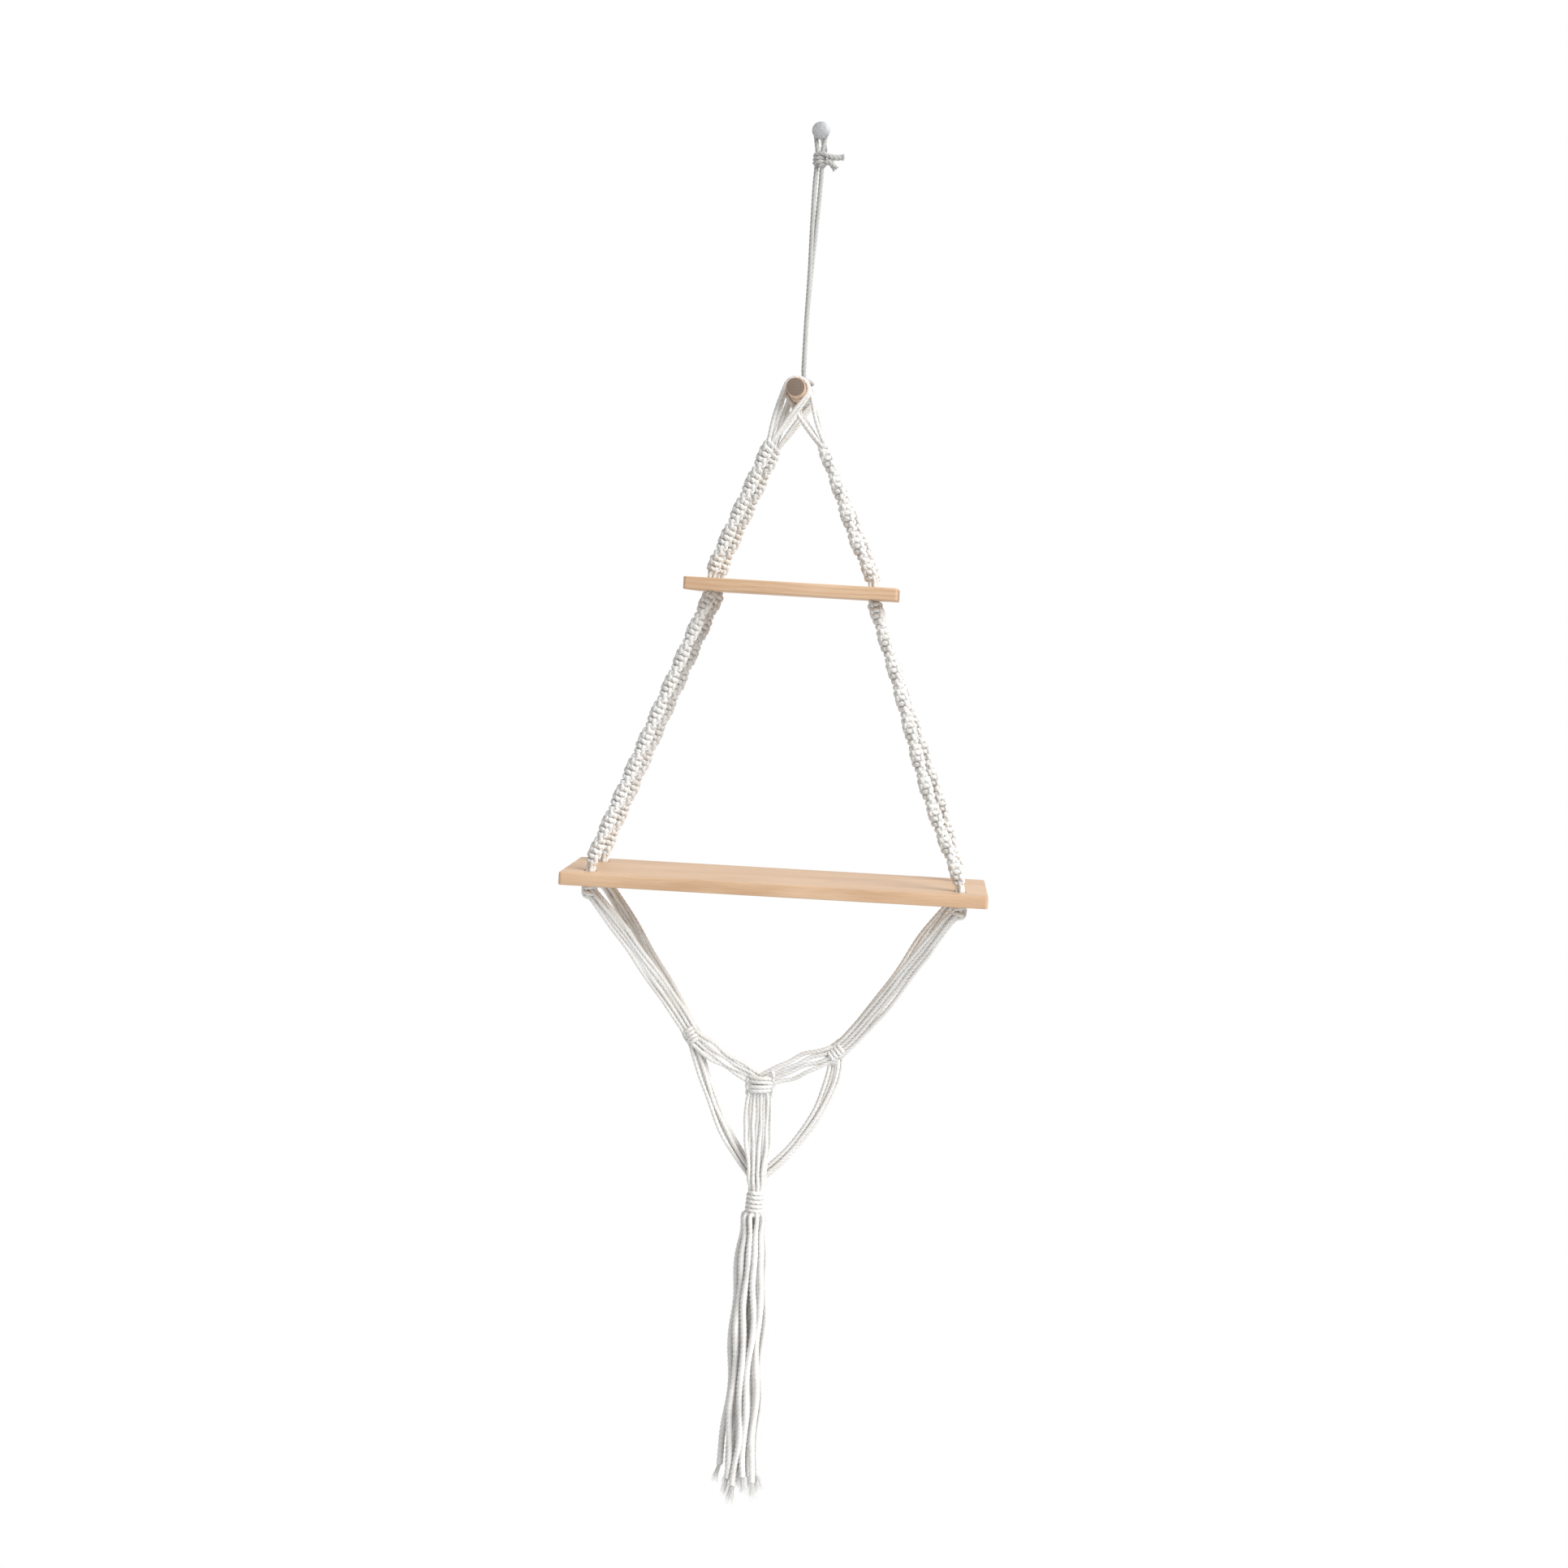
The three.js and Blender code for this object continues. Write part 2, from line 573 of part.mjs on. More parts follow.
// Pillow-shaped knot with flats where the cords meet it
function pillowKnot(size, cuts) {
  const ball = new THREE.SphereGeometry(0.5, 14, 10);
  ball.rotateX(Math.PI / 2);
  ball.scale(size.width, size.depth, size.height);
  const block = 2 * size.width;
  return cuts.reduce((body, [way, reach]) => trimmed(body, way.clone().multiplyScalar(reach), way, block), ball);
}

const dropSeat = centreKnot.height * 0.42;
const junctionTop = junctionKnot.height * 0.44;

function buildCentre() {
  const branches = Object.values(centreWays).map((way) => [way.clone().negate(), branchSeat.centre]);
  const knot = pillowKnot(centreKnot, [...branches, [down, dropSeat]]);
  place('centre_knot', knot, cotton(), centrePoint);

  const start = centrePoint.clone().addScaledVector(down, dropSeat + seatGap).add(frontLayer);
  const end = junctionPoint.clone().addScaledVector(up, junctionTop + seatGap);
  end.y = -junctionKnot.depth / 4;
  const route = hangingRoute(start, down, end, down, 7);
  const section = (k, s, whole) => {
    const gathered = THREE.MathUtils.smoothstep(s, whole * 0.55, whole);
    const width = branchWidthShare + (gatheredDropShare - branchWidthShare) * gathered;
    return uprightBand(8, width, 1 + 0.7 * gathered);
  };
  place('centre_drop', loft(route, section, acrossDepth, down, down), cotton());
}

function buildJunction() {
  const cuts = Object.values(junctionWays).map((way) => [way.clone().negate(), branchSeat.junction]);
  const knot = pillowKnot(junctionKnot, [...cuts, [up, junctionTop], [down, junctionTop]]);
  place('junction_knot', knot, cotton(), junctionPoint);
}

// Tassel neck: a cone domed at both ends, so that it swings under the junction knot and the strands swing under it
const [neckTopRadius, neckFootRadius] = [neck.topDiameter / 2, neck.footDiameter / 2];
const neckTop = junctionPoint.clone().addScaledVector(up, -junctionTop - seatGap - neckTopRadius);
const neckFoot = neckTop.clone().addScaledVector(up, neckTopRadius + neckFootRadius - neck.length);

function buildNeck() {
  const quarter = [0, 0.25, 0.5, 0.75, 1].map((share) => (share * Math.PI) / 2);
  const lowerDome = quarter.map((turn) => [
    neckFootRadius * Math.sin(turn),
    neckFoot.z - neckTop.z - neckFootRadius * Math.cos(turn),
  ]);
  const upperDome = quarter.map((turn) => [neckTopRadius * Math.cos(turn), neckTopRadius * Math.sin(turn)]);
  const profile = [...lowerDome, ...upperDome].map(([r, z]) => new THREE.Vector2(Math.max(r, 0), z));
  profile[profile.length - 1].x = 0;
  const geometry = new THREE.LatheGeometry(profile, 16);
  geometry.rotateX(Math.PI / 2);
  place('tassel_neck', geometry, cotton(), neckTop);
}

// Tassel strands leave the neck's foot in three rings: one, five and ten cords
const strandRings = [
  { count: 1, lean: 0, phase: 0 },
  { count: 5, lean: 25, phase: 12 },
  { count: 10, lean: 50, phase: 0 },
];
// How far below the neck the waypoints lie and how far out, as shares of the tassel's length and half width
const stationShares = [0.06, 0.15, 0.4, 0.72, 1];
const outShares = [
  [0, 0.02, 0.04, 0.03, 0.05],
  [0.33, 0.4, 0.45, 0.47, 0.5],
  [0.66, 0.83, 0.93, 0.96, 1],
];
// Each strand's own wander at the last three waypoints, and its length, chosen by hand
const strandShares = [
  { turn: [0, 0, 0], length: 0.97 },
  { turn: [5, -4, 6], length: 1 },
  { turn: [-5, 4, 2], length: 0.96 },
  { turn: [3, -6, -4], length: 0.985 },
  { turn: [-4, 5, -6], length: 1.01 },
  { turn: [6, 2, -3], length: 0.975 },
  { turn: [4, -5, 3], length: 0.99 },
  { turn: [-3, 4, -5], length: 1.015 },
  { turn: [5, -2, 4], length: 0.97 },
  { turn: [-5, 5, -2], length: 1 },
  { turn: [2, -4, 5], length: 0.985 },
  { turn: [-4, 3, -4], length: 0.955 },
  { turn: [4, -3, 2], length: 0.99 },
  { turn: [-2, 5, -5], length: 1.01 },
  { turn: [5, -5, 3], length: 0.975 },
  { turn: [-4, 2, -3], length: 1 },
];

function strandRoute(ringIndex, azimuth, wander) {
  const { lean } = strandRings[ringIndex];
  const tilt = THREE.MathUtils.degToRad(lean);
  const turn = THREE.MathUtils.degToRad(azimuth);
  const way = new THREE.Vector3(Math.sin(tilt) * Math.cos(turn), Math.sin(tilt) * Math.sin(turn), -Math.cos(tilt));
  const starts = [neckFootRadius + seatGap, neckFootRadius + cordDiameter];
  const points = starts.map((out) => neckFoot.clone().addScaledVector(way, out));
  stationShares.forEach((share, k) => {
    const wandered = turn + THREE.MathUtils.degToRad(k < 2 ? 0 : wander.turn[k - 2]);
    const out = outShares[ringIndex][k];
    points.push(new THREE.Vector3(
      neckFoot.x + out * tassel.halfWidth * Math.cos(wandered),
      neckFoot.y + out * tassel.halfDepth * Math.sin(wandered),
      neckFoot.z - neckFootRadius - share * wander.length * tassel.length,
    ));
  });
  return new THREE.CatmullRomCurve3(points, false, 'centripetal');
}

function strandRadius(travelled, whole) {
  const opened = THREE.MathUtils.smoothstep(travelled, 0, 3 * cordDiameter);
  const frayed = THREE.MathUtils.smoothstep(travelled, whole - strand.frayLength, whole);
  const root = strand.rootDiameter / 2;
  return root + (cordRadius - root) * opened + (strand.frayDiameter / 2 - cordRadius) * frayed;
}

function buildTassel() {
  let number = 0;
  strandRings.forEach(({ count, phase }, ringIndex) => {
    for (let i = 0; i < count; i++) {
      const wander = strandShares[number];
      number += 1;
      const curve = strandRoute(ringIndex, phase + (360 * i) / count, wander);
      const near = [0, 0.015, 0.035, 0.065, 0.12, 0.24, 0.42, 0.6, 0.78, 0.95, 1];
      const route = near.map((share) => curve.getPointAt(share));
      const cord = loft(route, (k, s, whole) => circleSection(strandRadius(s, whole)), acrossDepth);
      place(`tassel_strand_${String(number).padStart(2, '0')}`, cord, cotton());
    }
  });
}

buildNail();
buildEye();
buildHangerKnot();
buildLegs();
buildHitch();
buildBar();
for (const [rowName, row] of [['front', -1], ['rear', 1]]) {
  for (const [sideName, side] of [['left', -1], ['right', 1]]) {
    buildSaddle(rowName, sideName, side, (row * cordGroupSpread) / 2);
    buildSinnets(rowName, sideName, side, (row * cordGroupSpread) / 2);
  }
}
buildPlank('upper_plank', upperPlank);
buildPlank('lower_plank', lowerPlank);
buildStopKnots();
for (const netSide of netSides) {
  buildSideKnot(netSide);
  buildLeads(netSide);
  buildBranches(netSide);
}
buildCentre();
buildJunction();
buildNeck();
buildTassel();

export default shelf;
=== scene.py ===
import math

import bmesh
import bpy
import numpy as np
from mathutils import Matrix, Vector


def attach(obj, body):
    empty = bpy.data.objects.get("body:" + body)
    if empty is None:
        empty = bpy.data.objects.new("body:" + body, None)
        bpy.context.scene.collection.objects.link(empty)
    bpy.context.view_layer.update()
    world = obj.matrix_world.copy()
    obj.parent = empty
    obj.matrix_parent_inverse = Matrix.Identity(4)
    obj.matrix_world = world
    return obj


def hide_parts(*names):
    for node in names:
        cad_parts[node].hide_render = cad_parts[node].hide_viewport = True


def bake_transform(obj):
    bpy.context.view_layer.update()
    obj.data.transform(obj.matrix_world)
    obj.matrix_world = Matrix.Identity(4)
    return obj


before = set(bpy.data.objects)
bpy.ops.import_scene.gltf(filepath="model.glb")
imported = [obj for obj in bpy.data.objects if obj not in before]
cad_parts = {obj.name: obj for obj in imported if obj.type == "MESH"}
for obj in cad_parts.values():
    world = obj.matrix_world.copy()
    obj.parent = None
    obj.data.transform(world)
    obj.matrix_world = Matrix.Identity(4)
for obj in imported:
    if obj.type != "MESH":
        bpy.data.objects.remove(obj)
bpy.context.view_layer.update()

MM = 0.001
CORD = 4.0
CORD_RADIUS = CORD / 2
# The length of one turn of a ply, and how far out its crown lies as a share of the cord's diameter
PLY_LAY = 13.0
CROWN_REACH = 0.54
# The room between two pieces, and how far two cords side by side lie from their shared middle
SEAT = 0.3
LAYER = (CORD + SEAT) / 2
# How far each cord's lay is turned on from that of the cord before it
PHASE_STEP = 2.4

NAIL_HEAD = {"radius": 8.5, "dome": 2.2, "rim": (-5.0, -3.9), "back": -3.5}
NAIL_SHANK = {"radius": 2.5, "end": 80.5, "tip": 89.0}
EYE_RADIUS = 4.8
# How much thicker the hanging cord is than the shelf's
HANGER_SCALE = 1.08
HANGER_KNOT = {"z": -27.8, "height": 16.5, "half_width": 4.5, "half_depth": 3.7}
LEG_TOP = -38.35
LEG_STRAIGHT = -182.5
LEG_FOOT_X = -3.5
LEG_POINTS = [
    (2.6, 0, LEG_TOP),
    (2.8, 0, -50),
    (1.9, 1.29, -92.5),
    (0.56, 2.15, -135),
    (0, 2.15, LEG_STRAIGHT),
    (0, 2.15, -229.7),
]

BAR = {"x": -6.0, "z": -253.0, "radius": 9.0, "half_length": 67.0}
WRAP_RADIUS = BAR["radius"] + SEAT + CORD_RADIUS
ROW_Y = {"front": -40.0, "rear": 40.0}
SIDES = {"left": -1, "right": 1}
# Where the sinnets' cords meet under the bar
GATHER = {"x": -4.0, "half_spread": 23.0, "z": -300.0}

PLANK_DEPTH = 130.0
PLANK_THICKNESS = 12.0
UPPER_PLANK = {"width": 200.0, "z": -440.0, "hole": 76.0}
LOWER_PLANK = {"width": 400.0, "z": -721.0, "hole": 174.0}
HOLE_RADIUS = 6.0
STOP_KNOT_Z = -733.3
NECK_LENGTH = 9.0
KNOT_PITCH = 5.4
STEPS_PER_KNOT = 16.0
# The length of half a turn of a sinnet's spiral
HALF_TURN_LENGTH = 28.5
SINNET_CORDS = 4
EIGHTH_TURN = 0.785
# How far the right-hand sinnets bow sideways
SINNET_BOWS = {
    "upper_front_right": -3.5,
    "upper_rear_right": 1.5,
    "lower_front_right": -5.0,
    "lower_rear_right": 3.5,
}

# Each side knot's place and the ways of its cords, across and up: leave at the stop knots, lead where they
# reach the side knot, upper and lower where they go on as branches
SIDE_KNOTS = {
    "left": {
        "at": (-74, 0, -871),
        "leave": (0.66, -0.75),
        "lead": (0.53, -0.85),
        "upper": (0.78, -0.62),
        "lower": (0.3, -0.95),
    },
    "right": {
        "at": (65, 0, -880),
        "leave": (-0.7, -0.71),
        "lead": (-0.76, -0.65),
        "upper": (-0.88, -0.42),
        "lower": (0.05, -1),
    },
}
# How far apart a branch's cords lie, by the share of the way along it
UPPER_BRANCH_SPACING = {
    "left": lambda s: 3.6 + 0.9 * np.sin(np.pi * s),
    "right": lambda s: 3.9 + 1.5 * np.sin(np.pi * s),
}
LOWER_BRANCH_SPACING = {
    "left": lambda s: 2.7 - 0.5 * smooth_share(s, 0.6, 1),
    "right": lambda s: 3.9 - 1.6 * smooth_share(s, 0.15, 0.6),
}
# The square knots: half their width, their bulge to the front, the height of a half knot, how far a cord
# rises and dips as it crosses, the length of the tails, and how many cords work side by side
KNOT_SIZES = {
    "stop": {"half_width": 5.4, "front": 4.6, "pitch": 5.6, "lift": 2.0, "tails": 4.0},
    "side": {"half_width": 6.6, "front": 5.0, "pitch": 7.6, "lift": 1.6, "tails": 3.5, "cords": 2},
    "centre": {"half_width": 12.6, "front": 4.4, "pitch": 8.4, "lift": 1.2, "tails": 4.0, "cords": 2},
}
# How far from a knot's centre the cords of the net begin or end
STOP_KNOT_REACH = 8.7
SIDE_KNOT_REACH = 7.8
CENTRE_KNOT_REACH = 11.4
JUNCTION_REACH = 8.3
# Where the branches end, and their ways there, across and up
CENTRE_KNOT = np.array((-5.6, 0, -915))
CENTRE_WAYS = {"left": (0.87, -0.5), "right": (-0.87, -0.45)}
JUNCTION = np.array((-4.0, 0, -1008))
JUNCTION_WAYS = {"left": (0.66, -0.75), "right": (-0.74, -0.67)}
JUNCTION_DEPTH = 4.25
NECK_FOOT_Z = -1031.34
NECK_RADII = (8.5, 10.0)
NECK_WRAP = {"top": -1017.0, "bottom": -1040.0, "turns": 5.6, "start": 2.4, "tucks": (2.0, 1.6)}
TASSEL = {"length": 262.0, "half_width": 16.0, "half_depth": 14.0}

FLOOR_Z = -1.9

DOWN = np.array((0.0, 0.0, -1.0))
ACROSS_DEPTH = np.array((0.0, 1.0, 0.0))


# Node trees


class Wire:
    """A node socket that stands in an expression. Each operator adds the node that works it out."""

    def __init__(self, graph, socket):
        self.graph = graph
        self.socket = socket

    def beside(self, name):
        """Another output of the same node."""
        return Wire(self.graph, self.socket.node.outputs[name])

    def __add__(self, other):
        return self.graph.combine("ADD", self, other)

    def __radd__(self, other):
        return self.graph.combine("ADD", other, self)

    def __sub__(self, other):
        return self.graph.combine("SUBTRACT", self, other)

    def __rsub__(self, other):
        return self.graph.combine("SUBTRACT", other, self)

    def __mul__(self, other):
        return self.graph.combine("MULTIPLY", self, other)

    def __rmul__(self, other):
        return self.graph.combine("MULTIPLY", other, self)

    def __truediv__(self, other):
        return self.graph.combine("DIVIDE", self, other)

    def __pow__(self, other):
        return self.graph.combine("POWER", self, other)


def is_vector(value):
    return isinstance(value, tuple) or (isinstance(value, Wire) and value.socket.type == "VECTOR")


class Graph:
    """A node tree that is being written."""

    def __init__(self, tree):
        self.tree = tree

    def feed(self, socket, value):
        if isinstance(value, Wire):
            self.tree.links.new(value.socket, socket)
        else:
            socket.default_value = value

    def node(self, kind, settings=None, values=None, output=None):
        """Adds a node, its settings first. values has its inputs by name or number. Gives the first output,
        or the one named."""
        made = self.tree.nodes.new(kind)
        for name, value in (settings or {}).items():
            if name == "stops":
                for element, (position, colour) in zip(made.color_ramp.elements, value):
                    element.position = position
                    element.color = (*colour, 1)
            else:
                setattr(made, name, value)
        for key, value in (values or {}).items():
            named = (s for s in made.inputs if s.name == key and s.enabled)
            self.feed(made.inputs[key] if isinstance(key, int) else next(named), value)
        shown = [s for s in made.outputs if s.enabled and output in (None, s.name)]
        return Wire(self, shown[0]) if shown else None

    def combine(self, operation, a, b):
        vectors = [is_vector(a), is_vector(b)]
        if operation == "MULTIPLY" and vectors[0] != vectors[1]:
            vector, number = (a, b) if vectors[0] else (b, a)
            return self.node("ShaderNodeVectorMath", {"operation": "SCALE"}, {0: vector, 3: number})
        kind = "ShaderNodeVectorMath" if any(vectors) else "ShaderNodeMath"
        return self.node(kind, {"operation": operation}, {0: a, 1: b})

    def math(self, operation, *values):
        return self.node("ShaderNodeMath", {"operation": operation}, dict(enumerate(values)))

    def parts(self, vector):
        x = self.node("ShaderNodeSeparateXYZ", {}, {0: vector})
        return x, x.beside("Y"), x.beside("Z")

    def vector(self, x, y, z):
        return self.node("ShaderNodeCombineXYZ", {}, {0: x, 1: y, 2: z})

    def place(self):
        return self.node("ShaderNodeTexCoord", output="Object")

    def ply_crown(self, around):
        """The angle of a place on the cord's section, and how near it is to the crown of a ply."""
        x, y, _ = self.parts(around)
        angle = self.math("ARCTAN2", y, x)
        return angle, self.math("ABSOLUTE", self.math("COSINE", angle * 1.5))

    def smooth_step(self, value, low, high):
        values = {"Value": value, "From Min": low, "From Max": high}
        return self.node("ShaderNodeMapRange", {"interpolation_type": "SMOOTHSTEP"}, values)

    def noise(self, vector, scale=1.0, detail=2.0, roughness=0.5):
        values = {"Vector": vector, "Scale": scale, "Detail": detail, "Roughness": roughness}
        return self.node("ShaderNodeTexNoise", {}, values, "Fac")

    def blend_colours(self, share, a, b, how="MIX"):
        a, b = ((*colour, 1) if isinstance(colour, tuple) else colour for colour in (a, b))
        settings = {"data_type": "RGBA", "blend_type": how}
        return self.node("ShaderNodeMix", settings, {"Factor": share, "A": a, "B": b})

    def shaded(self, tone, share, mask, low, high, shade):
        """The tone times the shade where the mask is under low, and as it is where the mask is over high."""
        stops = [(low, shade), (high, (1.0, 1.0, 1.0))]
        ramp = self.node("ShaderNodeValToRGB", {"stops": stops}, {"Fac": mask})
        return self.blend_colours(share, tone, ramp, "MULTIPLY")

    def bumped(self, height, distance):
        return self.node("ShaderNodeBump", {}, {"Height": height, "Distance": distance, "Strength": 1.0})


class Growth(Graph):
    """A Geometry Nodes tree with named inputs."""

    def __init__(self, name, inputs):
        super().__init__(bpy.data.node_groups.new(name, "GeometryNodeTree"))
        face = self.tree.interface
        face.new_socket(name="Geometry", in_out="OUTPUT", socket_type="NodeSocketGeometry")
        for label, kind, value in [("Geometry", "Geometry", None), *inputs]:
            socket = face.new_socket(name=label, in_out="INPUT", socket_type="NodeSocket" + kind)
            if value is not None:
                socket.default_value = value
        entry = self.tree.nodes.new("NodeGroupInput")
        self.given = {s.name: Wire(self, s) for s in entry.outputs if s.name}

    def resampled(self, spacing):
        values = {"Curve": self.given["Geometry"], "Length": spacing}
        return self.node("GeometryNodeResampleCurve", {"mode": "LENGTH"}, values)

    def circle(self, sides, radius):
        values = {"Resolution": sides, "Radius": radius}
        return self.node("GeometryNodeCurvePrimitiveCircle", {"mode": "RADIUS"}, values)

    def stored(self, geometry, name, value, kind="FLOAT"):
        settings = {"data_type": kind, "domain": "POINT"}
        values = {"Geometry": geometry, "Name": name, "Value": value}
        return self.node("GeometryNodeStoreNamedAttribute", settings, values)

    def moved(self, geometry, how, place):
        """Moves the points to a place, where how is Position, or by an Offset."""
        return self.node("GeometryNodeSetPosition", {}, {"Geometry": geometry, how: place})

    def swept(self, curve, section, scale):
        values = {"Curve": curve, "Profile Curve": section, "Scale": scale, "Fill Caps": True}
        return self.node("GeometryNodeCurveToMesh", {}, values)

    def realized(self, geometry):
        return self.node("GeometryNodeRealizeInstances", {}, {0: geometry})

    def finish(self, geometry):
        smooth = self.node("GeometryNodeSetShadeSmooth", {}, {"Geometry": self.realized(geometry)})
        values = {"Geometry": smooth, "Material": self.given["Finish"]}
        return self.hand_out(self.node("GeometryNodeSetMaterial", {}, values))

    def hand_out(self, geometry):
        out = self.tree.nodes.new("NodeGroupOutput")
        self.feed(out.inputs[0], geometry)
        return self.tree


CORD_INPUTS = [
    ("Cord diameter", "Float", CORD * MM),
    ("Lay length", "Float", PLY_LAY * MM),
    ("Ply groove", "Float", 0.2),
    ("Ring spacing", "Float", 1.1 * MM),
    ("Sides", "Int", 12),
    ("Finish", "Material", None),
]


def grow_laid_cord():
    """Sweeps a three-lobed section along every spline and turns it with the lay."""
    g = Growth("laid_cord", CORD_INPUTS)
    given = g.given
    even = g.resampled(given["Ring spacing"])
    along = g.node("GeometryNodeSplineParameter", output="Length")
    phase = g.node("GeometryNodeInputCurveTilt")
    turn = phase + along * (2 * math.pi) / given["Lay length"]
    turned = g.node("GeometryNodeSetCurveTilt", {}, {"Curve": even, "Tilt": turn})
    measured = g.stored(turned, "along", along)
    place = g.node("GeometryNodeInputPosition")
    marked = g.stored(g.circle(given["Sides"], 1.0), "around", place, "FLOAT_VECTOR")
    _, crown = g.ply_crown(place)
    reach = given["Cord diameter"] * CROWN_REACH * (1.0 - given["Ply groove"] * (1.0 - crown))
    lobed = g.moved(marked, "Position", place * reach)
    return g.finish(g.swept(measured, lobed, g.node("GeometryNodeInputRadius")))


SINNET_INPUTS = [
    ("Head length", "Float", 10 * MM),
    ("Foot length", "Float", 20 * MM),
    ("Knot pitch", "Float", 6.6 * MM),
    ("Turn per knot", "Float", 0.727),
    ("Start turn", "Float", 0.0),
    ("Rest turn", "Float", 0.0),
    ("Half width", "Float", 4.3 * MM),
    ("Front bulge", "Float", 3.3 * MM),
    ("Tuck", "Float", 1.3 * MM),
    ("Lift", "Float", 2.0 * MM),
    ("Core spread", "Float", 1.7 * MM),
    ("Bundle radius", "Float", 2.8 * MM),
    ("Unevenness", "Float", 0.06),
    ("Seed", "Float", 0.0),
] + CORD_INPUTS


def grow_spiral_sinnet(laid_cord):
    """Half knots of two cords round two core cords. The knotting cords follow x, y and a lift along the route
    that repeat with each knot, in axes that turn with the sinnet."""
    g = Growth("spiral_sinnet", SINNET_INPUTS)
    given = g.given
    fine = g.resampled(given["Knot pitch"] / STEPS_PER_KNOT)
    values = {"Geometry": fine, "Amount": SINNET_CORDS}
    copies = g.node("GeometryNodeDuplicateElements", {"domain": "SPLINE"}, values)
    number = copies.beside("Duplicate Index")
    core = g.math("GREATER_THAN", number, 1.5)
    sign = 1.0 - g.math("MODULO", number, 2.0) * 2.0

    along = g.node("GeometryNodeSplineParameter", output="Length")
    foot = g.node("GeometryNodeSplineLength", output="Length") - given["Foot length"]
    past_head = g.math("MINIMUM", along, foot) - given["Head length"]
    knots = g.math("MAXIMUM", past_head, 0.0) / given["Knot pitch"]
    reach = given["Knot pitch"] * 0.6
    opened = g.smooth_step(along, given["Head length"] - reach, given["Head length"] + reach)
    knotted = opened * (1.0 - g.smooth_step(along, foot - reach, foot + reach))

    half_turn = knots * math.pi
    cosine, sine = g.math("COSINE", half_turn), g.math("SINE", half_turn)
    across = (cosine - g.math("COSINE", half_turn * 3.0) / 9.0) * (-9.0 / 8.0) * given["Half width"]
    deep = (given["Tuck"] + given["Front bulge"] * 0.5) / 1.5
    front = (deep - given["Front bulge"]) * sine + deep * g.math("SINE", half_turn * 3.0)
    lift = given["Lift"] * g.math("SINE", half_turn * 2.0) * knotted * (1.0 - core)

    rest, loose = given["Bundle radius"], 1.0 - knotted
    noise = g.noise(g.vector(along * 90.0, number * 3.7, given["Seed"]))
    uneven = 1.0 + (noise - 0.5) * 2.0 * given["Unevenness"]
    knot_x = (across * knotted - cosine * rest * loose) * uneven
    knot_y = front * knotted * uneven
    x = sign * (knot_x + (given["Core spread"] * knotted - knot_x) * core)
    y = sign * (knot_y + (rest * loose - knot_y) * core)

    turn = given["Start turn"] + knots * given["Turn per knot"] + (1.0 - opened) * given["Rest turn"]
    sine, cosine = g.math("SINE", turn), g.math("COSINE", turn)
    tangent = g.node("GeometryNodeInputTangent")
    depth_way = (0.0, 1.0, 0.0)
    side_way = g.node("ShaderNodeVectorMath", {"operation": "CROSS_PRODUCT"}, {0: tangent, 1: depth_way})
    in_depth = g.vector(0.0, x * cosine - y * sine, 0.0)
    moved = g.moved(copies, "Offset", in_depth + side_way * (x * sine + y * cosine) + tangent * lift)
    radius = 1.0 + knotted * (core * 0.2 + 0.1)
    squeezed = g.node("GeometryNodeSetCurveRadius", {}, {"Curve": moved, "Radius": radius})
    values = {"Geometry": squeezed} | {label: given[label] for label, _, _ in CORD_INPUTS}
    return g.hand_out(g.node("GeometryNodeGroup", {"node_tree": laid_cord}, values))


FRAY_INPUTS = [
    ("Tip", "Vector", (0, 0, 0)),
    ("Lean", "Rotation", None),
    ("Yarns", "Int", 60),
    ("Yarn length", "Float", 19 * MM),
    ("Yarn radius", "Float", 0.28 * MM),
    ("Cord radius", "Float", 1.9 * MM),
    ("Flare", "Float", 2.8 * MM),
    ("Seed", "Int", 0),
    ("Finish", "Material", None),
]


def grow_frayed_tip():
    """Loose yarns at a cut end: each stands on the cord's end and leans away from its middle."""
    g = Growth("frayed_tip", FRAY_INPUTS)
    given = g.given
    seed = given["Seed"]

    def chance(low, high, its_seed):
        values = {"Min": low, "Max": high, "Seed": its_seed}
        return g.node("FunctionNodeRandomValue", {"data_type": "FLOAT"}, values)

    points = g.node("GeometryNodePoints", {}, {"Count": given["Yarns"]})
    turn = chance(0.0, 6.283, seed)
    out = g.math("SQRT", chance(0.0, 1.0, seed + 1))
    foot = g.vector(g.math("COSINE", turn) * out, g.math("SINE", turn) * out, 0.0) * given["Cord radius"]
    standing = g.moved(points, "Position", foot)
    length, flare = given["Yarn length"], given["Flare"]
    yarn = g.node(
        "GeometryNodeCurvePrimitiveBezierSegment",
        {"mode": "POSITION"},
        {
            "Resolution": 6,
            "Start": (0.0, 0.0, 0.0),
            "Start Handle": g.vector(0.0, 0.0, length * -0.4),
            "End Handle": g.vector(flare * 0.5, 0.0, length * -0.7),
            "End": g.vector(flare, flare * 0.3, length * -1.0),
        },
    )
    share = g.node("GeometryNodeSplineParameter", output="Factor")
    thread = g.swept(yarn, g.circle(4, given["Yarn radius"]), 1.0 - share * 0.55)
    spin = turn + chance(-0.9, 0.9, seed + 2)
    size = chance(0.62, 1.0, seed + 3)
    bend = out * chance(0.2, 1.3, seed + 4)
    spun = g.node("FunctionNodeEulerToRotation", {}, {0: g.vector(0.0, 0.0, spin)})
    values = {"Points": standing, "Instance": thread, "Rotation": spun, "Scale": g.vector(bend, bend, size)}
    yarns = g.realized(g.node("GeometryNodeInstanceOnPoints", {}, values))
    values = {"Geometry": yarns, "Translation": given["Tip"], "Rotation": given["Lean"]}
    return g.finish(g.node("GeometryNodeTransform", {}, values))


# Finishes


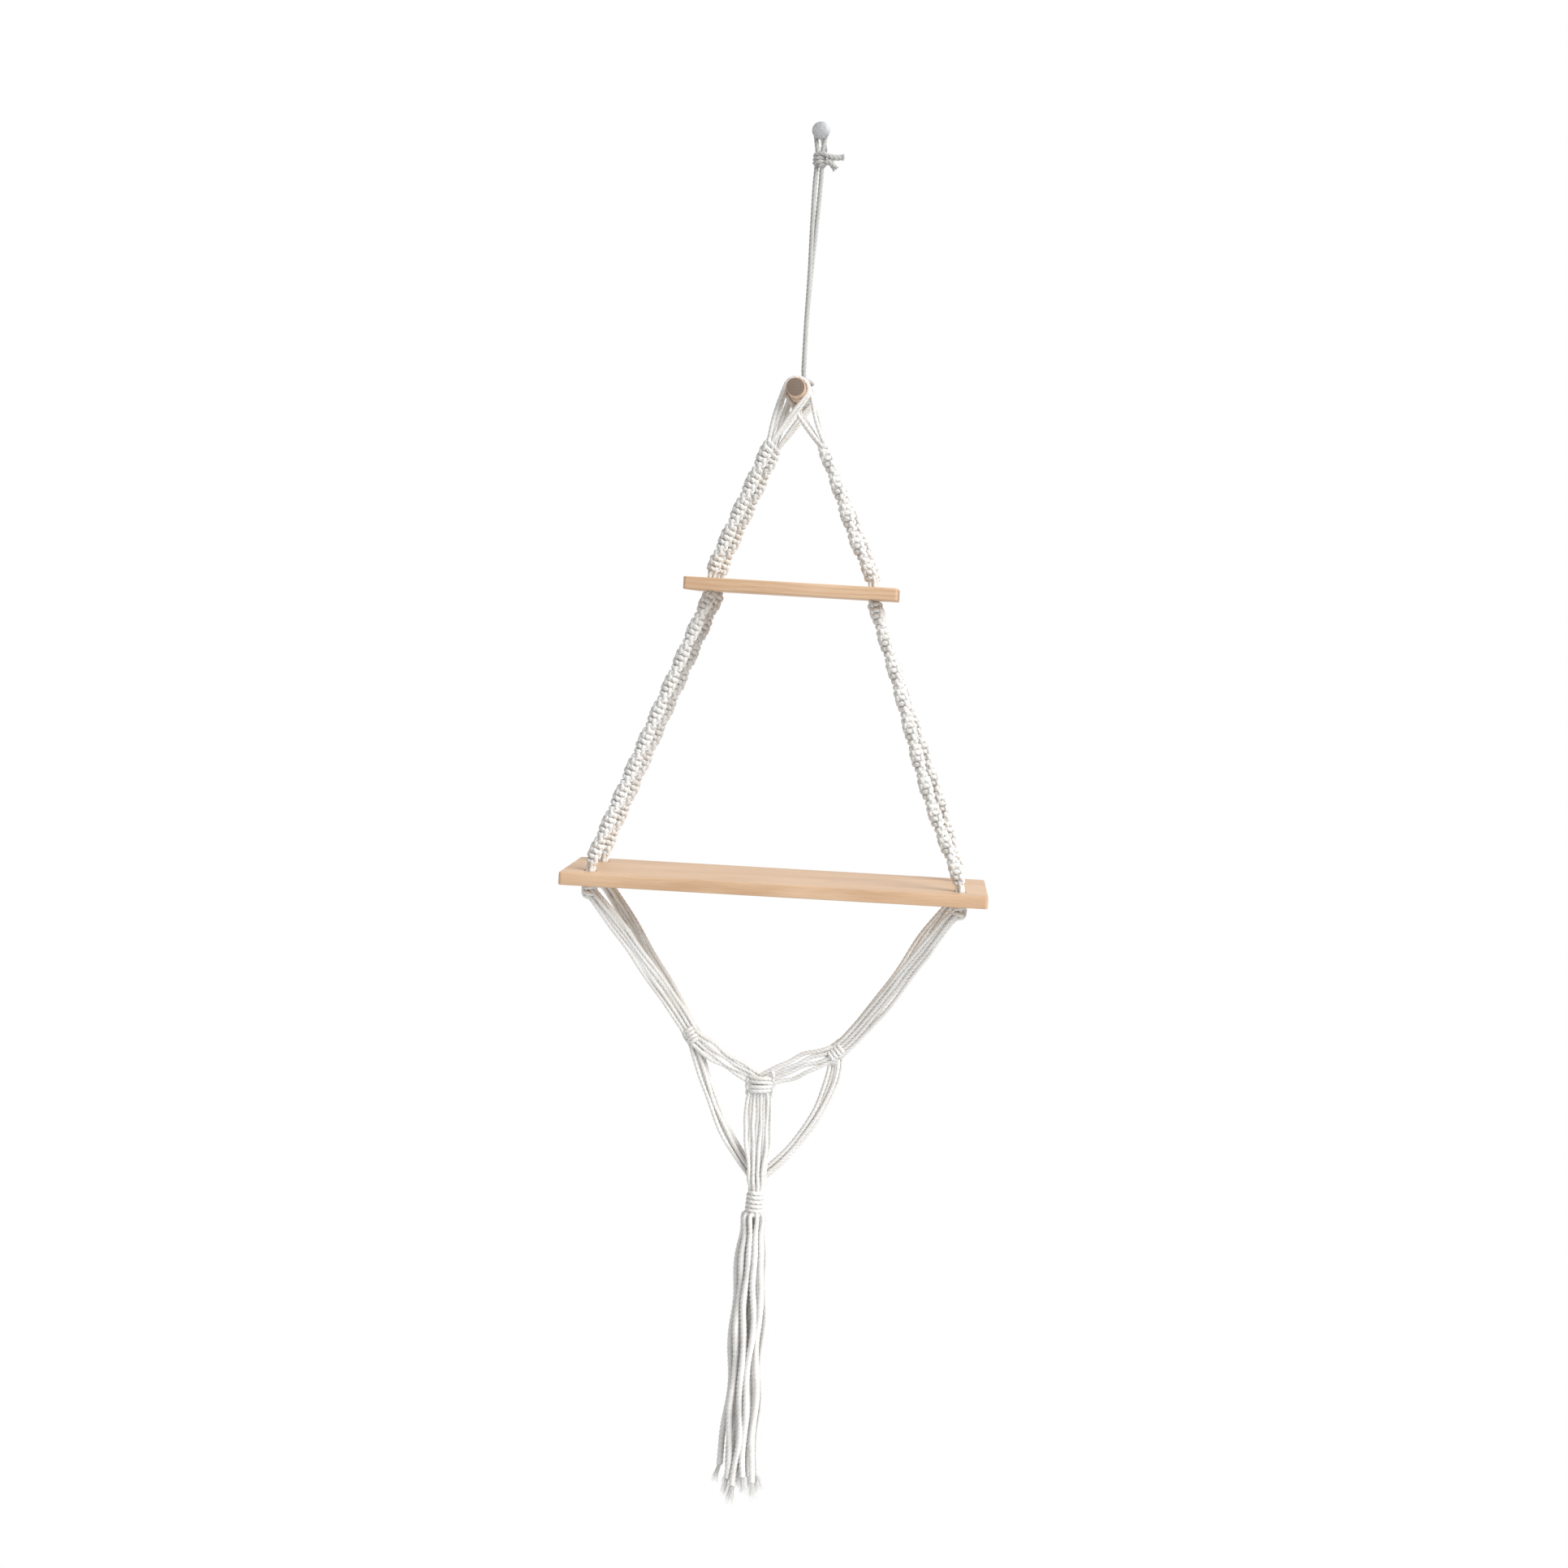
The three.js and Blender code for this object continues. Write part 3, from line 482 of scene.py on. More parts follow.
def new_finish(name):
    finish = bpy.data.materials.new(name)
    finish.use_nodes = True
    finish.node_tree.nodes.clear()
    return finish, Graph(finish.node_tree)


def close_finish(g, values):
    shader = g.node("ShaderNodeBsdfPrincipled", {}, values)
    g.node("ShaderNodeOutputMaterial", {}, {"Surface": shader})


def cotton_finish(name, crown_tone, painted_groove_shade):
    """Undyed cotton: pale crowns, painted shade in the grooves between the plies, and fine fibres along the
    cord.
    """
    finish, g = new_finish(name)
    along = g.node("ShaderNodeAttribute", {"attribute_name": "along"}, output="Fac")
    around = g.node("ShaderNodeAttribute", {"attribute_name": "around"}, output="Vector")
    angle, crown = g.ply_crown(around)
    straight = angle + along * (2 * math.pi / (PLY_LAY * MM))
    fibre_at = g.vector(g.math("COSINE", straight) * 5.0, g.math("SINE", straight) * 5.0, along * 420.0)
    fibres = g.noise(fibre_at, 1.0, 3.0, 0.6)
    place = g.place()
    fuzz = g.noise(place, 2600.0, 2.0, 0.7)
    # Painted shade: the tone darkens towards the grooves between the plies, away from each ply's crown
    tone = g.blend_colours(g.smooth_step(crown, 0.0, 0.75), painted_groove_shade, crown_tone)
    tone = g.shaded(tone, 0.8, fibres, 0.3, 0.6, (0.86, 0.85, 0.83))
    tone = g.shaded(tone, 1.0, g.noise(place, 60.0), 0.35, 0.6, (0.93, 0.92, 0.9))
    close_finish(
        g,
        {
            "Base Color": tone,
            "Roughness": 0.92,
            "Normal": g.bumped(fibres + fuzz * 0.5, 0.16 * MM),
            "Sheen Weight": 0.2,
            "Specular IOR Level": 0.25,
            "Subsurface Weight": 0.4,
            "Subsurface Radius": (1.0, 0.95, 0.9),
            "Subsurface Scale": 3 * MM,
        },
    )
    return finish


def wood_finish(name, centre, grain_way, pale, late, end_tone, ring=4.6, heart=(62.0, 24.0)):
    """Bare softwood. The growth rings are cylinders round the log's heart, so the faces show long grain and
    the ends show arcs. centre is the middle of the piece, and grain_way is 0 for a grain along X or 1 for
    one along Y. ring is the rings' width, and heart is how far the piece lies from the heart, across and
    up."""
    finish, g = new_finish(name)
    values = {"Vector": g.place(), "Location": tuple(-c * MM for c in centre)}
    local = g.node("ShaderNodeMapping", {"vector_type": "POINT"}, values)
    x, y, z = g.parts(local)
    run, cross = (x, y) if grain_way == 0 else (y, x)
    face_run = g.parts(g.node("ShaderNodeTexCoord", output="Normal"))[grain_way]
    bow = g.noise(g.vector(run * 5.0, cross * 9.0, z * 9.0)) - 0.5
    dy = cross + heart[0] * MM + bow * 0.016
    dz = z + heart[1] * MM + bow * 0.01
    from_heart = g.math("SQRT", dy * dy + dz * dz)
    wave = g.math("SINE", from_heart * (2 * math.pi / (ring * MM)) + bow * 6.0) * 0.5 + 0.5
    late_wood = wave**2.5
    fibres = g.noise(g.vector(run * 45.0, cross * 1500.0, z * 1500.0), 1.0, 3.0, 0.65)
    cloud = g.noise(g.vector(run * 8.0, cross * 30.0, z * 30.0))
    tone = g.blend_colours(late_wood * 0.5, pale, late)
    tone = g.shaded(tone, 0.75, fibres, 0.32, 0.62, (0.82, 0.78, 0.74))
    tone = g.shaded(tone, 1.0, cloud, 0.35, 0.65, (0.9, 0.86, 0.82))
    end_share = g.smooth_step(g.math("ABSOLUTE", face_run), 0.8, 0.98)
    pores = g.noise(local, 2200.0)
    end_dark = tuple(0.55 * c for c in end_tone)
    end_grain = g.blend_colours(late_wood * 0.5 + pores * 0.3, end_tone, end_dark)
    tone = g.blend_colours(end_share, tone, end_grain)
    roughness = 0.4 + fibres * 0.16 + end_share * 0.3
    normal = g.bumped(fibres * 0.6 + late_wood * 0.3 + pores * end_share, 0.12 * MM)
    close_finish(g, {"Base Color": tone, "Roughness": roughness, "Normal": normal})
    return finish


def nail_finish():
    """Galvanised steel, dull and faintly mottled, with the hammer's marks on its head."""
    finish, g = new_finish("nail_steel")
    place = g.place()
    spangle = g.noise(place, 420.0, 3.0, 0.6)
    marks = g.noise(place, 1600.0)
    stops = [(0.3, (0.34, 0.345, 0.35)), (0.7, (0.5, 0.505, 0.51))]
    tone = g.node("ShaderNodeValToRGB", {"stops": stops}, {"Fac": spangle})
    normal = g.bumped(spangle + marks * 0.4, 0.12 * MM)
    roughness = 0.5 + spangle * 0.25
    close_finish(g, {"Base Color": tone, "Metallic": 0.85, "Roughness": roughness, "Normal": normal})
    return finish


def studio_finish(name, colour):
    finish, g = new_finish(name)
    speck = g.noise(g.place(), 3.0)
    close_finish(g, {"Base Color": g.blend_colours(speck * 0.03, colour, (0.8, 0.8, 0.8)), "Roughness": 0.9})
    return finish


# Routes, in millimetres


def unit(vector):
    vector = np.array(vector, float)
    return vector / np.linalg.norm(vector)


def flat_way(pair):
    return unit((pair[0], 0, pair[1]))


def travelled(line):
    return np.concatenate([[0], np.cumsum(np.linalg.norm(np.diff(line, axis=0), axis=1))])


def share_along(line):
    way = travelled(line)
    return way / way[-1]


def spaced(line, step):
    """The same line, with its points about a step apart."""
    line = np.array(line, float)
    way = travelled(line)
    at = np.linspace(0, way[-1], max(2, int(round(way[-1] / step)) + 1))
    return np.stack([np.interp(at, way, line[:, k]) for k in range(3)], axis=1)


def rounded(points):
    """Smooth line through the points, as a centripetal Catmull-Rom spline."""
    points = np.array(points, float)
    padded = np.vstack([2 * points[0] - points[1], points, 2 * points[-1] - points[-2]])
    line = [points[0]]
    for k in range(len(points) - 1):
        quad = padded[k : k + 4]
        knots = np.concatenate([[0], np.cumsum(np.sqrt(np.linalg.norm(np.diff(quad, axis=0), axis=1)))])
        count = max(3, int(np.linalg.norm(quad[2] - quad[1])) + 2)
        for t in np.linspace(knots[1], knots[2], count)[1:]:
            level = list(quad)
            for depth in range(1, 4):
                nearer = []
                for i in range(len(level) - 1):
                    low, high = (knots[1], knots[2]) if depth == 3 else (knots[i], knots[i + depth])
                    share = (t - low) / (high - low)
                    nearer.append(level[i] * (1 - share) + level[i + 1] * share)
                level = nearer
            line.append(level[0])
    return spaced(line, 1.0)


def hanging_route(start, start_way, end, end_way, start_reach=0.3, end_reach=0.3):
    """A curve that leaves the start and comes to the end in the given ways."""
    start, end = np.array(start, float), np.array(end, float)
    span = np.linalg.norm(end - start)
    a, b = start + start_way * span * start_reach, end - end_way * span * end_reach
    t = np.linspace(0, 1, 60)[:, None]
    line = (1 - t) ** 3 * start + 3 * (1 - t) ** 2 * t * a + 3 * (1 - t) * t**2 * b + t**3 * end
    return spaced(line, 2.0)


def softened(line, passes):
    line = np.array(line, float)
    for _ in range(passes):
        line[1:-1] = (line[:-2] + 2 * line[1:-1] + line[2:]) / 4
    return line


def tangents(line):
    ways = np.gradient(line, axis=0)
    return ways / np.linalg.norm(ways, axis=1)[:, None]


def smooth_share(value, low, high):
    share = np.clip((value - low) / (high - low), 0, 1)
    return share * share * (3 - 2 * share)


def abreast(route, count, spacing, stagger=0.0, wander=0.0, seed=0, before=0.0, after=0.0):
    """Lines of cords that lie side by side along a route in the picture plane. spacing and stagger are
    lengths, or functions of the share of the way along. before and after run each line on past the route's
    ends."""
    ways = tangents(route)
    route = np.vstack([route[0] - ways[0] * before, route, route[-1] + ways[-1] * after])
    route = spaced(route, 2.0)
    beside = np.cross(tangents(route), ACROSS_DEPTH)
    share = share_along(route)
    apart = spacing(share) if callable(spacing) else spacing
    deep = stagger(share) if callable(stagger) else stagger
    free = np.sin(np.pi * share) * wander
    dice = np.random.default_rng(seed)
    lines = []
    for i in range(count):
        slow, quick, outward, _ = dice.uniform(0, 2 * np.pi, 4)
        drift = free * (np.sin(2.2 * np.pi * share + slow) + 0.5 * np.sin(5.1 * np.pi * share + quick))
        side = (i - (count - 1) / 2) * apart + drift
        depth = (1 if i % 2 else -1) * deep + free * 0.6 * np.sin(2.9 * np.pi * share + outward)
        lines.append(route + beside * side[:, None] + ACROSS_DEPTH * depth[:, None])
    return lines


def half_knot(half_width, front, tuck, pitch, lift):
    """The cord that crosses in front, from the left edge to the right one, in the knot's own axes."""
    turn = np.linspace(0, np.pi, 17)
    x = -half_width * (np.cos(turn) - np.cos(3 * turn) / 9) * 9 / 8
    deep = (tuck + front / 2) / 1.5
    y = (deep - front) * np.sin(turn) + deep * np.sin(3 * turn)
    z = pitch * (0.5 - turn / np.pi) - lift * np.sin(2 * turn)
    return np.stack([x, y, z], axis=1)


def square_knot(centre, way, leave, half_width, front, pitch, lift, tails, cords=1, tuck=1.5):
    """Lines of a square knot's working cords, round cords that run along way. The upper tails run straight,
    and the lower ones go in under the knot and out along leave."""
    raised = -unit(way)
    beside = np.cross(ACROSS_DEPTH, raised)
    turned = np.array((leave @ beside, 0, leave @ raised))
    lines = []
    for cord in range(cords):
        shift = (cord - (cords - 1) / 2) * -CORD * 0.92
        for sign in (1, -1):
            first, second = (
                half_knot(half_width, front, tuck, pitch, lift) * (sign * flip, sign, 1)
                + (0, 0, flip * pitch / 2 + shift)
                for flip in (1, -1)
            )
            start = first[0] * (0.7, 1, 1) + (0, 0, tails)
            ends = [second[-1] * (0.5, 0.5, 1.3) + turned * tails * 0.3, turned * (pitch + tails * 1.2)]
            path = spaced(softened(np.vstack([start, first, second[1:], *ends]), 2), 0.8)
            placed = np.array(centre) + path[:, :1] * beside + path[:, 1:2] * ACROSS_DEPTH
            lines.append(placed + path[:, 2:] * raised)
    return lines


def on_wrap(radius, degrees, y):
    turn = math.radians(degrees)
    return np.array((BAR["x"] + radius * math.cos(turn), y, BAR["z"] + radius * math.sin(turn)))


def gather_of(side, row_y):
    """A sinnet's first point under the bar, and its way to the upper plank."""
    shift = side * (CORD + SEAT / 2)
    point = np.array((GATHER["x"] + side * GATHER["half_spread"], row_y + shift, GATHER["z"]))
    top = UPPER_PLANK["z"] + PLANK_THICKNESS / 2 + NECK_LENGTH
    return point, unit((side * UPPER_PLANK["hole"] - point[0], 0, top - point[2]))


def touch_angle(side, point):
    """The angle at which a cord that comes straight from a point touches the bar's left or right side."""
    dx, dz = point[0] - BAR["x"], point[2] - BAR["z"]
    lean = math.acos(WRAP_RADIUS / math.hypot(dx, dz))
    angle = math.degrees(math.atan2(dz, dx) + side * lean)
    return angle + 360 if side < 0 and angle < 0 else angle


def corners():
    """The four sinnets: each one's name, its side's name, its Y and its side's sign."""
    for row, y in ROW_Y.items():
        for side_name, side in SIDES.items():
            yield f"{row}_{side_name}", side_name, y, side


# Pieces


def linked(obj):
    bpy.context.scene.collection.objects.link(obj)
    return obj


def cord_lines(name, lines, radii=None, phases=None):
    """A curve object of one open poly spline for each line."""
    data = bpy.data.curves.new(name, "CURVE")
    data.dimensions = "3D"
    for k, line in enumerate(lines):
        spline = data.splines.new("POLY")
        spline.points.add(len(line) - 1)
        places = np.ones((len(line), 4))
        places[:, :3] = np.array(line) * MM
        spline.points.foreach_set("co", places.ravel())
        radius = np.full(len(line), 1.0 if radii is None else radii[k], float)
        spline.points.foreach_set("radius", radius)
        spline.points.foreach_set("tilt", np.full(len(line), k * PHASE_STEP if phases is None else phases[k]))
    return linked(bpy.data.objects.new(name, data))


def as_mesh(source):
    """The mesh that a source object shows. The source goes."""
    depsgraph = bpy.context.evaluated_depsgraph_get()
    mesh = bpy.data.meshes.new_from_object(
        source.evaluated_get(depsgraph), preserve_all_data_layers=True, depsgraph=depsgraph
    )
    bpy.data.objects.remove(source)
    return mesh


def grown(name, source, tree, values):
    """What a tree makes of the source, as a plain mesh object."""
    source.name = name + "_source"
    modifier = source.modifiers.new("grown", "NODES")
    modifier.node_group = tree
    for item in tree.interface.items_tree:
        if item.in_out == "INPUT" and item.name in values:
            modifier[item.identifier] = values[item.name]
    mesh = as_mesh(source)
    mesh.name = name
    return linked(bpy.data.objects.new(name, mesh))


def laid(name, lines, radii=None, phases=None, **values):
    """One piece of laid cord, with a cord for each line."""
    values.setdefault("Finish", COTTON)
    return grown(name, cord_lines(name, lines, radii, phases), LAID_CORD, values)


def dressed(obj, body, *nodes):
    """Puts a piece on its body, in the place of the nodes that it stands for."""
    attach(obj, body)
    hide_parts(*nodes)
    return obj


def declared(piece, line, lay, far_end="object", **rest):
    """Works out the line's points in metres, and keeps nothing."""
    tuple(line[0] * MM)
    [tuple(p * MM) for p in line]


def frayed(name, tip, way, seed, **values):
    """A tuft of loose yarns that leaves a cord's tip along way."""
    source = linked(bpy.data.objects.new(name, bpy.data.meshes.new(name)))
    lean = Vector((0, 0, -1)).rotation_difference(Vector(way)).to_euler()
    given = {"Tip": tuple(float(c) * MM for c in tip), "Lean": tuple(lean), "Seed": seed}
    return grown(name, source, FRAYED_TIP, given | values)


def turned_mesh(name, profile, segments, axis_place, finish):
    """A lathe-turned piece whose axis runs along Y. profile is a list of (radius, y)."""
    turns = np.linspace(0, 2 * np.pi, segments, endpoint=False)
    places, faces = [], []
    rings = []
    for radius, y in profile:
        if radius < 1e-6:
            rings.append([len(places)])
            places.append((0, y, 0))
        else:
            rings.append(list(range(len(places), len(places) + segments)))
            places.extend((radius * math.cos(t), y, radius * math.sin(t)) for t in turns)
    for a, b in zip(rings, rings[1:]):
        for i in range(segments):
            j = (i + 1) % segments
            if len(a) == 1:
                faces.append((a[0], b[i], b[j]))
            elif len(b) == 1:
                faces.append((a[j], a[i], b[0]))
            else:
                faces.append((a[i], b[i], b[j], a[j]))
    mesh = bpy.data.meshes.new(name)
    moved = [tuple((p + q) * MM for p, q in zip(place, axis_place)) for place in places]
    mesh.from_pydata(moved, [], faces)
    mesh.materials.append(finish)
    mesh.polygons.foreach_set("use_smooth", [True] * len(mesh.polygons))
    obj = linked(bpy.data.objects.new(name, mesh))
    settle_normals(obj)
    return obj


def settle_normals(obj):
    """Turns the faces outwards."""
    work = bmesh.new()
    work.from_mesh(obj.data)
    bmesh.ops.remove_doubles(work, verts=work.verts, dist=1e-7)
    bmesh.ops.recalc_face_normals(work, faces=work.faces)
    if work.calc_volume(signed=True) < 0:
        bmesh.ops.reverse_faces(work, faces=work.faces)
    work.to_mesh(obj.data)
    work.free()


def build_nail():
    """From the crown of its head over the rim, then along the shank to its point."""
    head, shank = NAIL_HEAD["radius"], NAIL_SHANK["radius"]
    rim_front, rim_back = NAIL_HEAD["rim"]
    back, end, tip = NAIL_HEAD["back"], NAIL_SHANK["end"], NAIL_SHANK["tip"]
    profile = []
    for share in (0, 0.12, 0.3, 0.5, 0.7, 0.86, 0.95):
        turn = share * math.pi / 2
        profile.append((head * math.sin(turn), rim_front - 0.1 - NAIL_HEAD["dome"] * math.cos(turn)))
    profile += [(head, rim_front), (head, rim_back), (head - 0.3, back)]
    profile += [(shank + 0.5, back), (shank, back + 0.5), (shank, end), (shank - 0.3, end + 1.5)]
    profile += [(0.2, tip - 0.2), (0, tip)]
    nail = turned_mesh("nail", profile, 40, (0, 0, 0), NAIL_STEEL)
    dressed(nail, "wall_fixing", "wall_nail")


def build_eye():
    """The hanging cord's loop over the nail."""
    foot = HANGER_KNOT["z"] + HANGER_KNOT["height"] / 2 + SEAT
    side = [(2.0, foot - 7), (2.3, foot), (3.2, foot * 0.7), (EYE_RADIUS, foot * 0.15)]
    turns = [math.radians(angle) for angle in range(20, 161, 20)]
    over = [(EYE_RADIUS * math.cos(turn), EYE_RADIUS * math.sin(turn)) for turn in turns]
    points = side + over + [(-x, z) for x, z in reversed(side)]
    line = rounded([(x, 0, z) for x, z in points])
    eye = laid("hanging_eye_cord", [line], [HANGER_SCALE], Finish=HANGER_COTTON)
    dressed(eye, "hanging_loop", "hanging_eye")


def build_hanger_knot():
    """Three turns of the cord round itself, with both tails out to the right."""
    w, d = HANGER_KNOT["half_width"], HANGER_KNOT["half_depth"]
    points = [(20.5, -0.6, -23.9), (14.5, -2.2, -24.6), (8.5, -3.4, -23.6), (3.5, -d - 0.6, -22.0)]
    top, bottom, turns = -22.2, -33.4, 3
    for k in range(1, 4 * turns + 1):
        turn = -math.pi / 2 - k * math.pi / 2
        z = top + (bottom - top) * k / (4 * turns)
        points.append((w * math.cos(turn), d * math.sin(turn), z))
    points += [(4.4, -1.6, -31.6), (7.6, -2.6, -29.0), (11.4, -1.8, -30.2), (14.2, -0.8, -33.4)]
    line = rounded(points)
    way = travelled(line)
    from_end = np.minimum(way, way[-1] - way)
    radii = HANGER_SCALE * (1.32 - 0.32 * smooth_share(from_end, 8, 16))
    knot = laid("hanging_knot_cord", [line], [radii], Finish=HANGER_COTTON)
    dressed(knot, "hanging_loop", "hanging_knot")
    brush = {"Yarn length": 4.4, "Flare": 1.5, "Yarn radius": 0.34, "Cord radius": 2.5}
    brush = {label: size * MM for label, size in brush.items()} | {"Yarns": 90, "Finish": HANGER_COTTON}
    tails = {"upper": (line[0], (1, 0.2, 0.05), 71), "lower": (line[-1], (0.7, 0.2, -0.8), 72)}
    for name, (tip, way, seed) in tails.items():
        tuft = frayed(f"hanging_tail_{name}", tip - unit(way) * 0.8, way, seed, **brush)
        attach(tuft, "hanging_loop")


def leg_line(side):
    points = [(side * 2.4, 0, LEG_TOP + 8)]
    for x, y, z in LEG_POINTS:
        lean = min(1, (LEG_TOP - z) / (LEG_TOP - LEG_STRAIGHT))
        points.append((LEG_FOOT_X * lean + side * x, side * y, z))
    points.append((LEG_FOOT_X, side * LAYER, LEG_POINTS[-1][2] - 1.5))
    return rounded(points)


def build_legs():
    """The hanging cord's two legs, from its knot to the bar."""
    for name, side in SIDES.items():
        line = leg_line(side)
        leg = laid(f"leg_cord_{name}", [line], [HANGER_SCALE], Finish=HANGER_COTTON)
        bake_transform(leg)
        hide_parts(f"hanging_cord_{name}")
        declared(leg, line, "taut")


def build_bar():
    """A short round bar with eased ends."""
    half, radius = BAR["half_length"], BAR["radius"]
    edge = [(1, 0), (0.55, 0.1), (0.12, 0.5), (0, 1)]
    edge = [(radius - inwards, half - back) for inwards, back in edge]
    profile = [(0, -half)] + [(r, -y) for r, y in edge]
    profile += [(radius, y) for y in (-40, 0, 40)]
    profile += edge[::-1] + [(0, half)]
    bar = turned_mesh("bar_dowel", profile, 64, (BAR["x"], 0, BAR["z"]), BAR_WOOD)
    dressed(bar, "shelf", "top_bar")


def build_hitch():
    """Lark's head: each leg goes once round under the bar, and the fold lies in front of both."""
    landing = math.degrees(math.acos(-BAR["x"] / WRAP_RADIUS))
    pitch = CORD + SEAT
    outer = WRAP_RADIUS + CORD + SEAT
    ease = 14
    fold = landing - ease
    top, legs_end = BAR["z"] + WRAP_RADIUS, -230
    rear = [(LEG_FOOT_X, LAYER, legs_end + 0.5), (LEG_FOOT_X * 0.8, LAYER, (top + legs_end) / 2)]
    steps, sweep = 14, 360 - (95 - landing)
    for k in range(steps + 1):
        y = LAYER + pitch * min(1, 1.25 * k / steps)
        rear.append(on_wrap(WRAP_RADIUS, landing - sweep * k / steps, y))
    rear.append(on_wrap((WRAP_RADIUS + outer) / 2, landing + ease, LAYER + pitch))
    rear.append(on_wrap(outer, fold + 6, LAYER + pitch * 0.6))
    rear = np.array(rear, float)
    line = rounded([*rear, on_wrap(outer, fold, 0), *(rear[::-1] * (1, -1, 1))])
    dressed(laid("hitch_cord", [line], [HANGER_SCALE], Finish=HANGER_COTTON), "shelf", "bar_hitch")


def build_saddles():
    """For each sinnet two cords folded over the bar, whose four halves meet at its first knot."""
    for name, _, y, side in corners():
        point, way = gather_of(side, y)
        right = np.cross(way, ACROSS_DEPTH)
        ends = [point + right * (leg * LAYER) for leg in (-1, 1)]
        sweep = np.linspace(touch_angle(-1, ends[0]), touch_angle(1, ends[1]), 30)
        lines = []
        for shift in (-CORD_RADIUS, CORD_RADIUS):
            aside = np.array((0, shift, 0))
            arc = [on_wrap(WRAP_RADIUS, a, point[1] + shift) for a in sweep]
            tucked = [point + right * (leg * 1.0) + aside * 0.5 + way * 6 for leg in (-1, 1)]
            line = spaced([tucked[0], ends[0] + aside, *arc, ends[1] + aside, tucked[1]], 1.0)
            hang = np.clip((arc[0][2] - line[:, 2]) / (arc[0][2] - point[2]), 0, 1)
            line[:, 0] += np.sin(math.pi * hang) * shift * 0.8
            lines.append(softened(line, 4))
        dressed(laid(f"saddle_cords_{name}", lines), "shelf", f"saddle_{name}")


def sinnet_route(start, side, row_y, plank):
    """From the start straight towards the plank's hole, over a short bend and down through the hole."""
    top = plank["z"] + PLANK_THICKNESS / 2
    turning = np.array((side * plank["hole"], row_y, top + NECK_LENGTH))
    mouth, foot = turning - (0, 0, NECK_LENGTH), turning - (0, 0, NECK_LENGTH + PLANK_THICKNESS)
    lean = 1 - 2 * NECK_LENGTH / np.linalg.norm(turning - start)
    leaning = start + (turning - start) * lean
    t = np.linspace(0, 1, 12)[:, None]
    bend = (1 - t) ** 2 * leaning + 2 * (1 - t) * t * turning + t**2 * mouth
    return spaced(np.vstack([start, bend, foot]), 2.0)


def build_sinnet(name, node, route, head, turns, seed):
    """head is the length above the first knot. turns holds the knots' turn at the sinnet's start, and how
    much further the loose cords above them turn."""
    foot = NECK_LENGTH + PLANK_THICKNESS - 3
    whole = travelled(route)[-1]
    knots = max(1, round((whole - head - foot) / KNOT_PITCH))
    pitch = (whole - head - foot) / knots
    values = {
        "Head length": head * MM,
        "Foot length": foot * MM,
        "Knot pitch": pitch * MM,
        "Turn per knot": math.pi * pitch / HALF_TURN_LENGTH,
        "Start turn": turns[0],
        "Rest turn": turns[1],
        "Ring spacing": 0.8 * MM,
        "Seed": float(seed),
        "Finish": COTTON,
    }
    sinnet = grown(name, cord_lines(name, [route]), SPIRAL_SINNET, values)
    dressed(sinnet, "shelf", node)


def bowed(route, reach):
    """A route that bows along X, most of all a little below its middle. Its ends keep their place and way."""
    bow = reach * np.sin(np.pi * share_along(route) ** 1.5) ** 2
    return route + np.outer(bow, (1.0, 0, 0))


def build_sinnets():
    """At each corner one sinnet from the bar to the upper plank, and one from there to the lower plank."""
    for name, _, y, side in corners():
        under = np.array((side * UPPER_PLANK["hole"], y, UPPER_PLANK["z"] - PLANK_THICKNESS / 2))
        seed = 3 * side + (5 if y < 0 else 11)
        for level, start, plank, head, turns in (
            ("upper", gather_of(side, y)[0], UPPER_PLANK, 3.0, (0.0, EIGHTH_TURN)),
            ("lower", under, LOWER_PLANK, 2.0, (0.5, 0.0)),
        ):
            route = bowed(sinnet_route(start, side, y, plank), SINNET_BOWS.get(f"{level}_{name}", 0))
            build_sinnet(f"{level}_spiral_{name}", f"{level}_sinnet_{name}", route, head, turns, seed)
            seed += 1


def build_plank(name, node, plank, finish):
    """A board with eased edges and four drilled holes, filled from its outline."""
    ease, corner = 1.1, 2.2
    data = bpy.data.curves.new(name, "CURVE")
    data.dimensions = "2D"
    data.fill_mode = "BOTH"
    data.extrude = (PLANK_THICKNESS / 2 - ease) * MM
    data.bevel_depth = ease * MM
    data.bevel_resolution = 3

    def outline(points):
        spline = data.splines.new("POLY")
        spline.points.add(len(points) - 1)
        for point, (x, y) in zip(spline.points, points):
            point.co = (x * MM, y * MM, 0, 1)
        spline.use_cyclic_u = True

    half_x, half_y = plank["width"] / 2 - ease - corner, PLANK_DEPTH / 2 - ease - corner
    edge = []
    for k, (sx, sy) in enumerate(((1, -1), (1, 1), (-1, 1), (-1, -1))):
        for turn in np.linspace(0, math.pi / 2, 6):
            a = turn + (k - 1) * math.pi / 2
            edge.append((sx * half_x + corner * math.cos(a), sy * half_y + corner * math.sin(a)))
    outline(edge)
    radius = HOLE_RADIUS + ease
    turns = np.linspace(0, 2 * math.pi, 32, endpoint=False)
    for x in (-plank["hole"], plank["hole"]):
        for y in ROW_Y.values():
            outline([(x + radius * math.cos(t), y + radius * math.sin(t)) for t in turns])
    mesh = as_mesh(linked(bpy.data.objects.new(name + "_outline", data)))
    mesh.transform(Matrix.Translation((0, 0, plank["z"] * MM)))
    mesh.name = name
    mesh.materials.clear()
    mesh.materials.append(finish)
    board = linked(bpy.data.objects.new(name, mesh))
    settle_normals(board)
    mesh.polygons.foreach_set("use_smooth", [abs(p.normal.z) < 0.98 for p in mesh.polygons])
    dressed(board, "shelf", node)


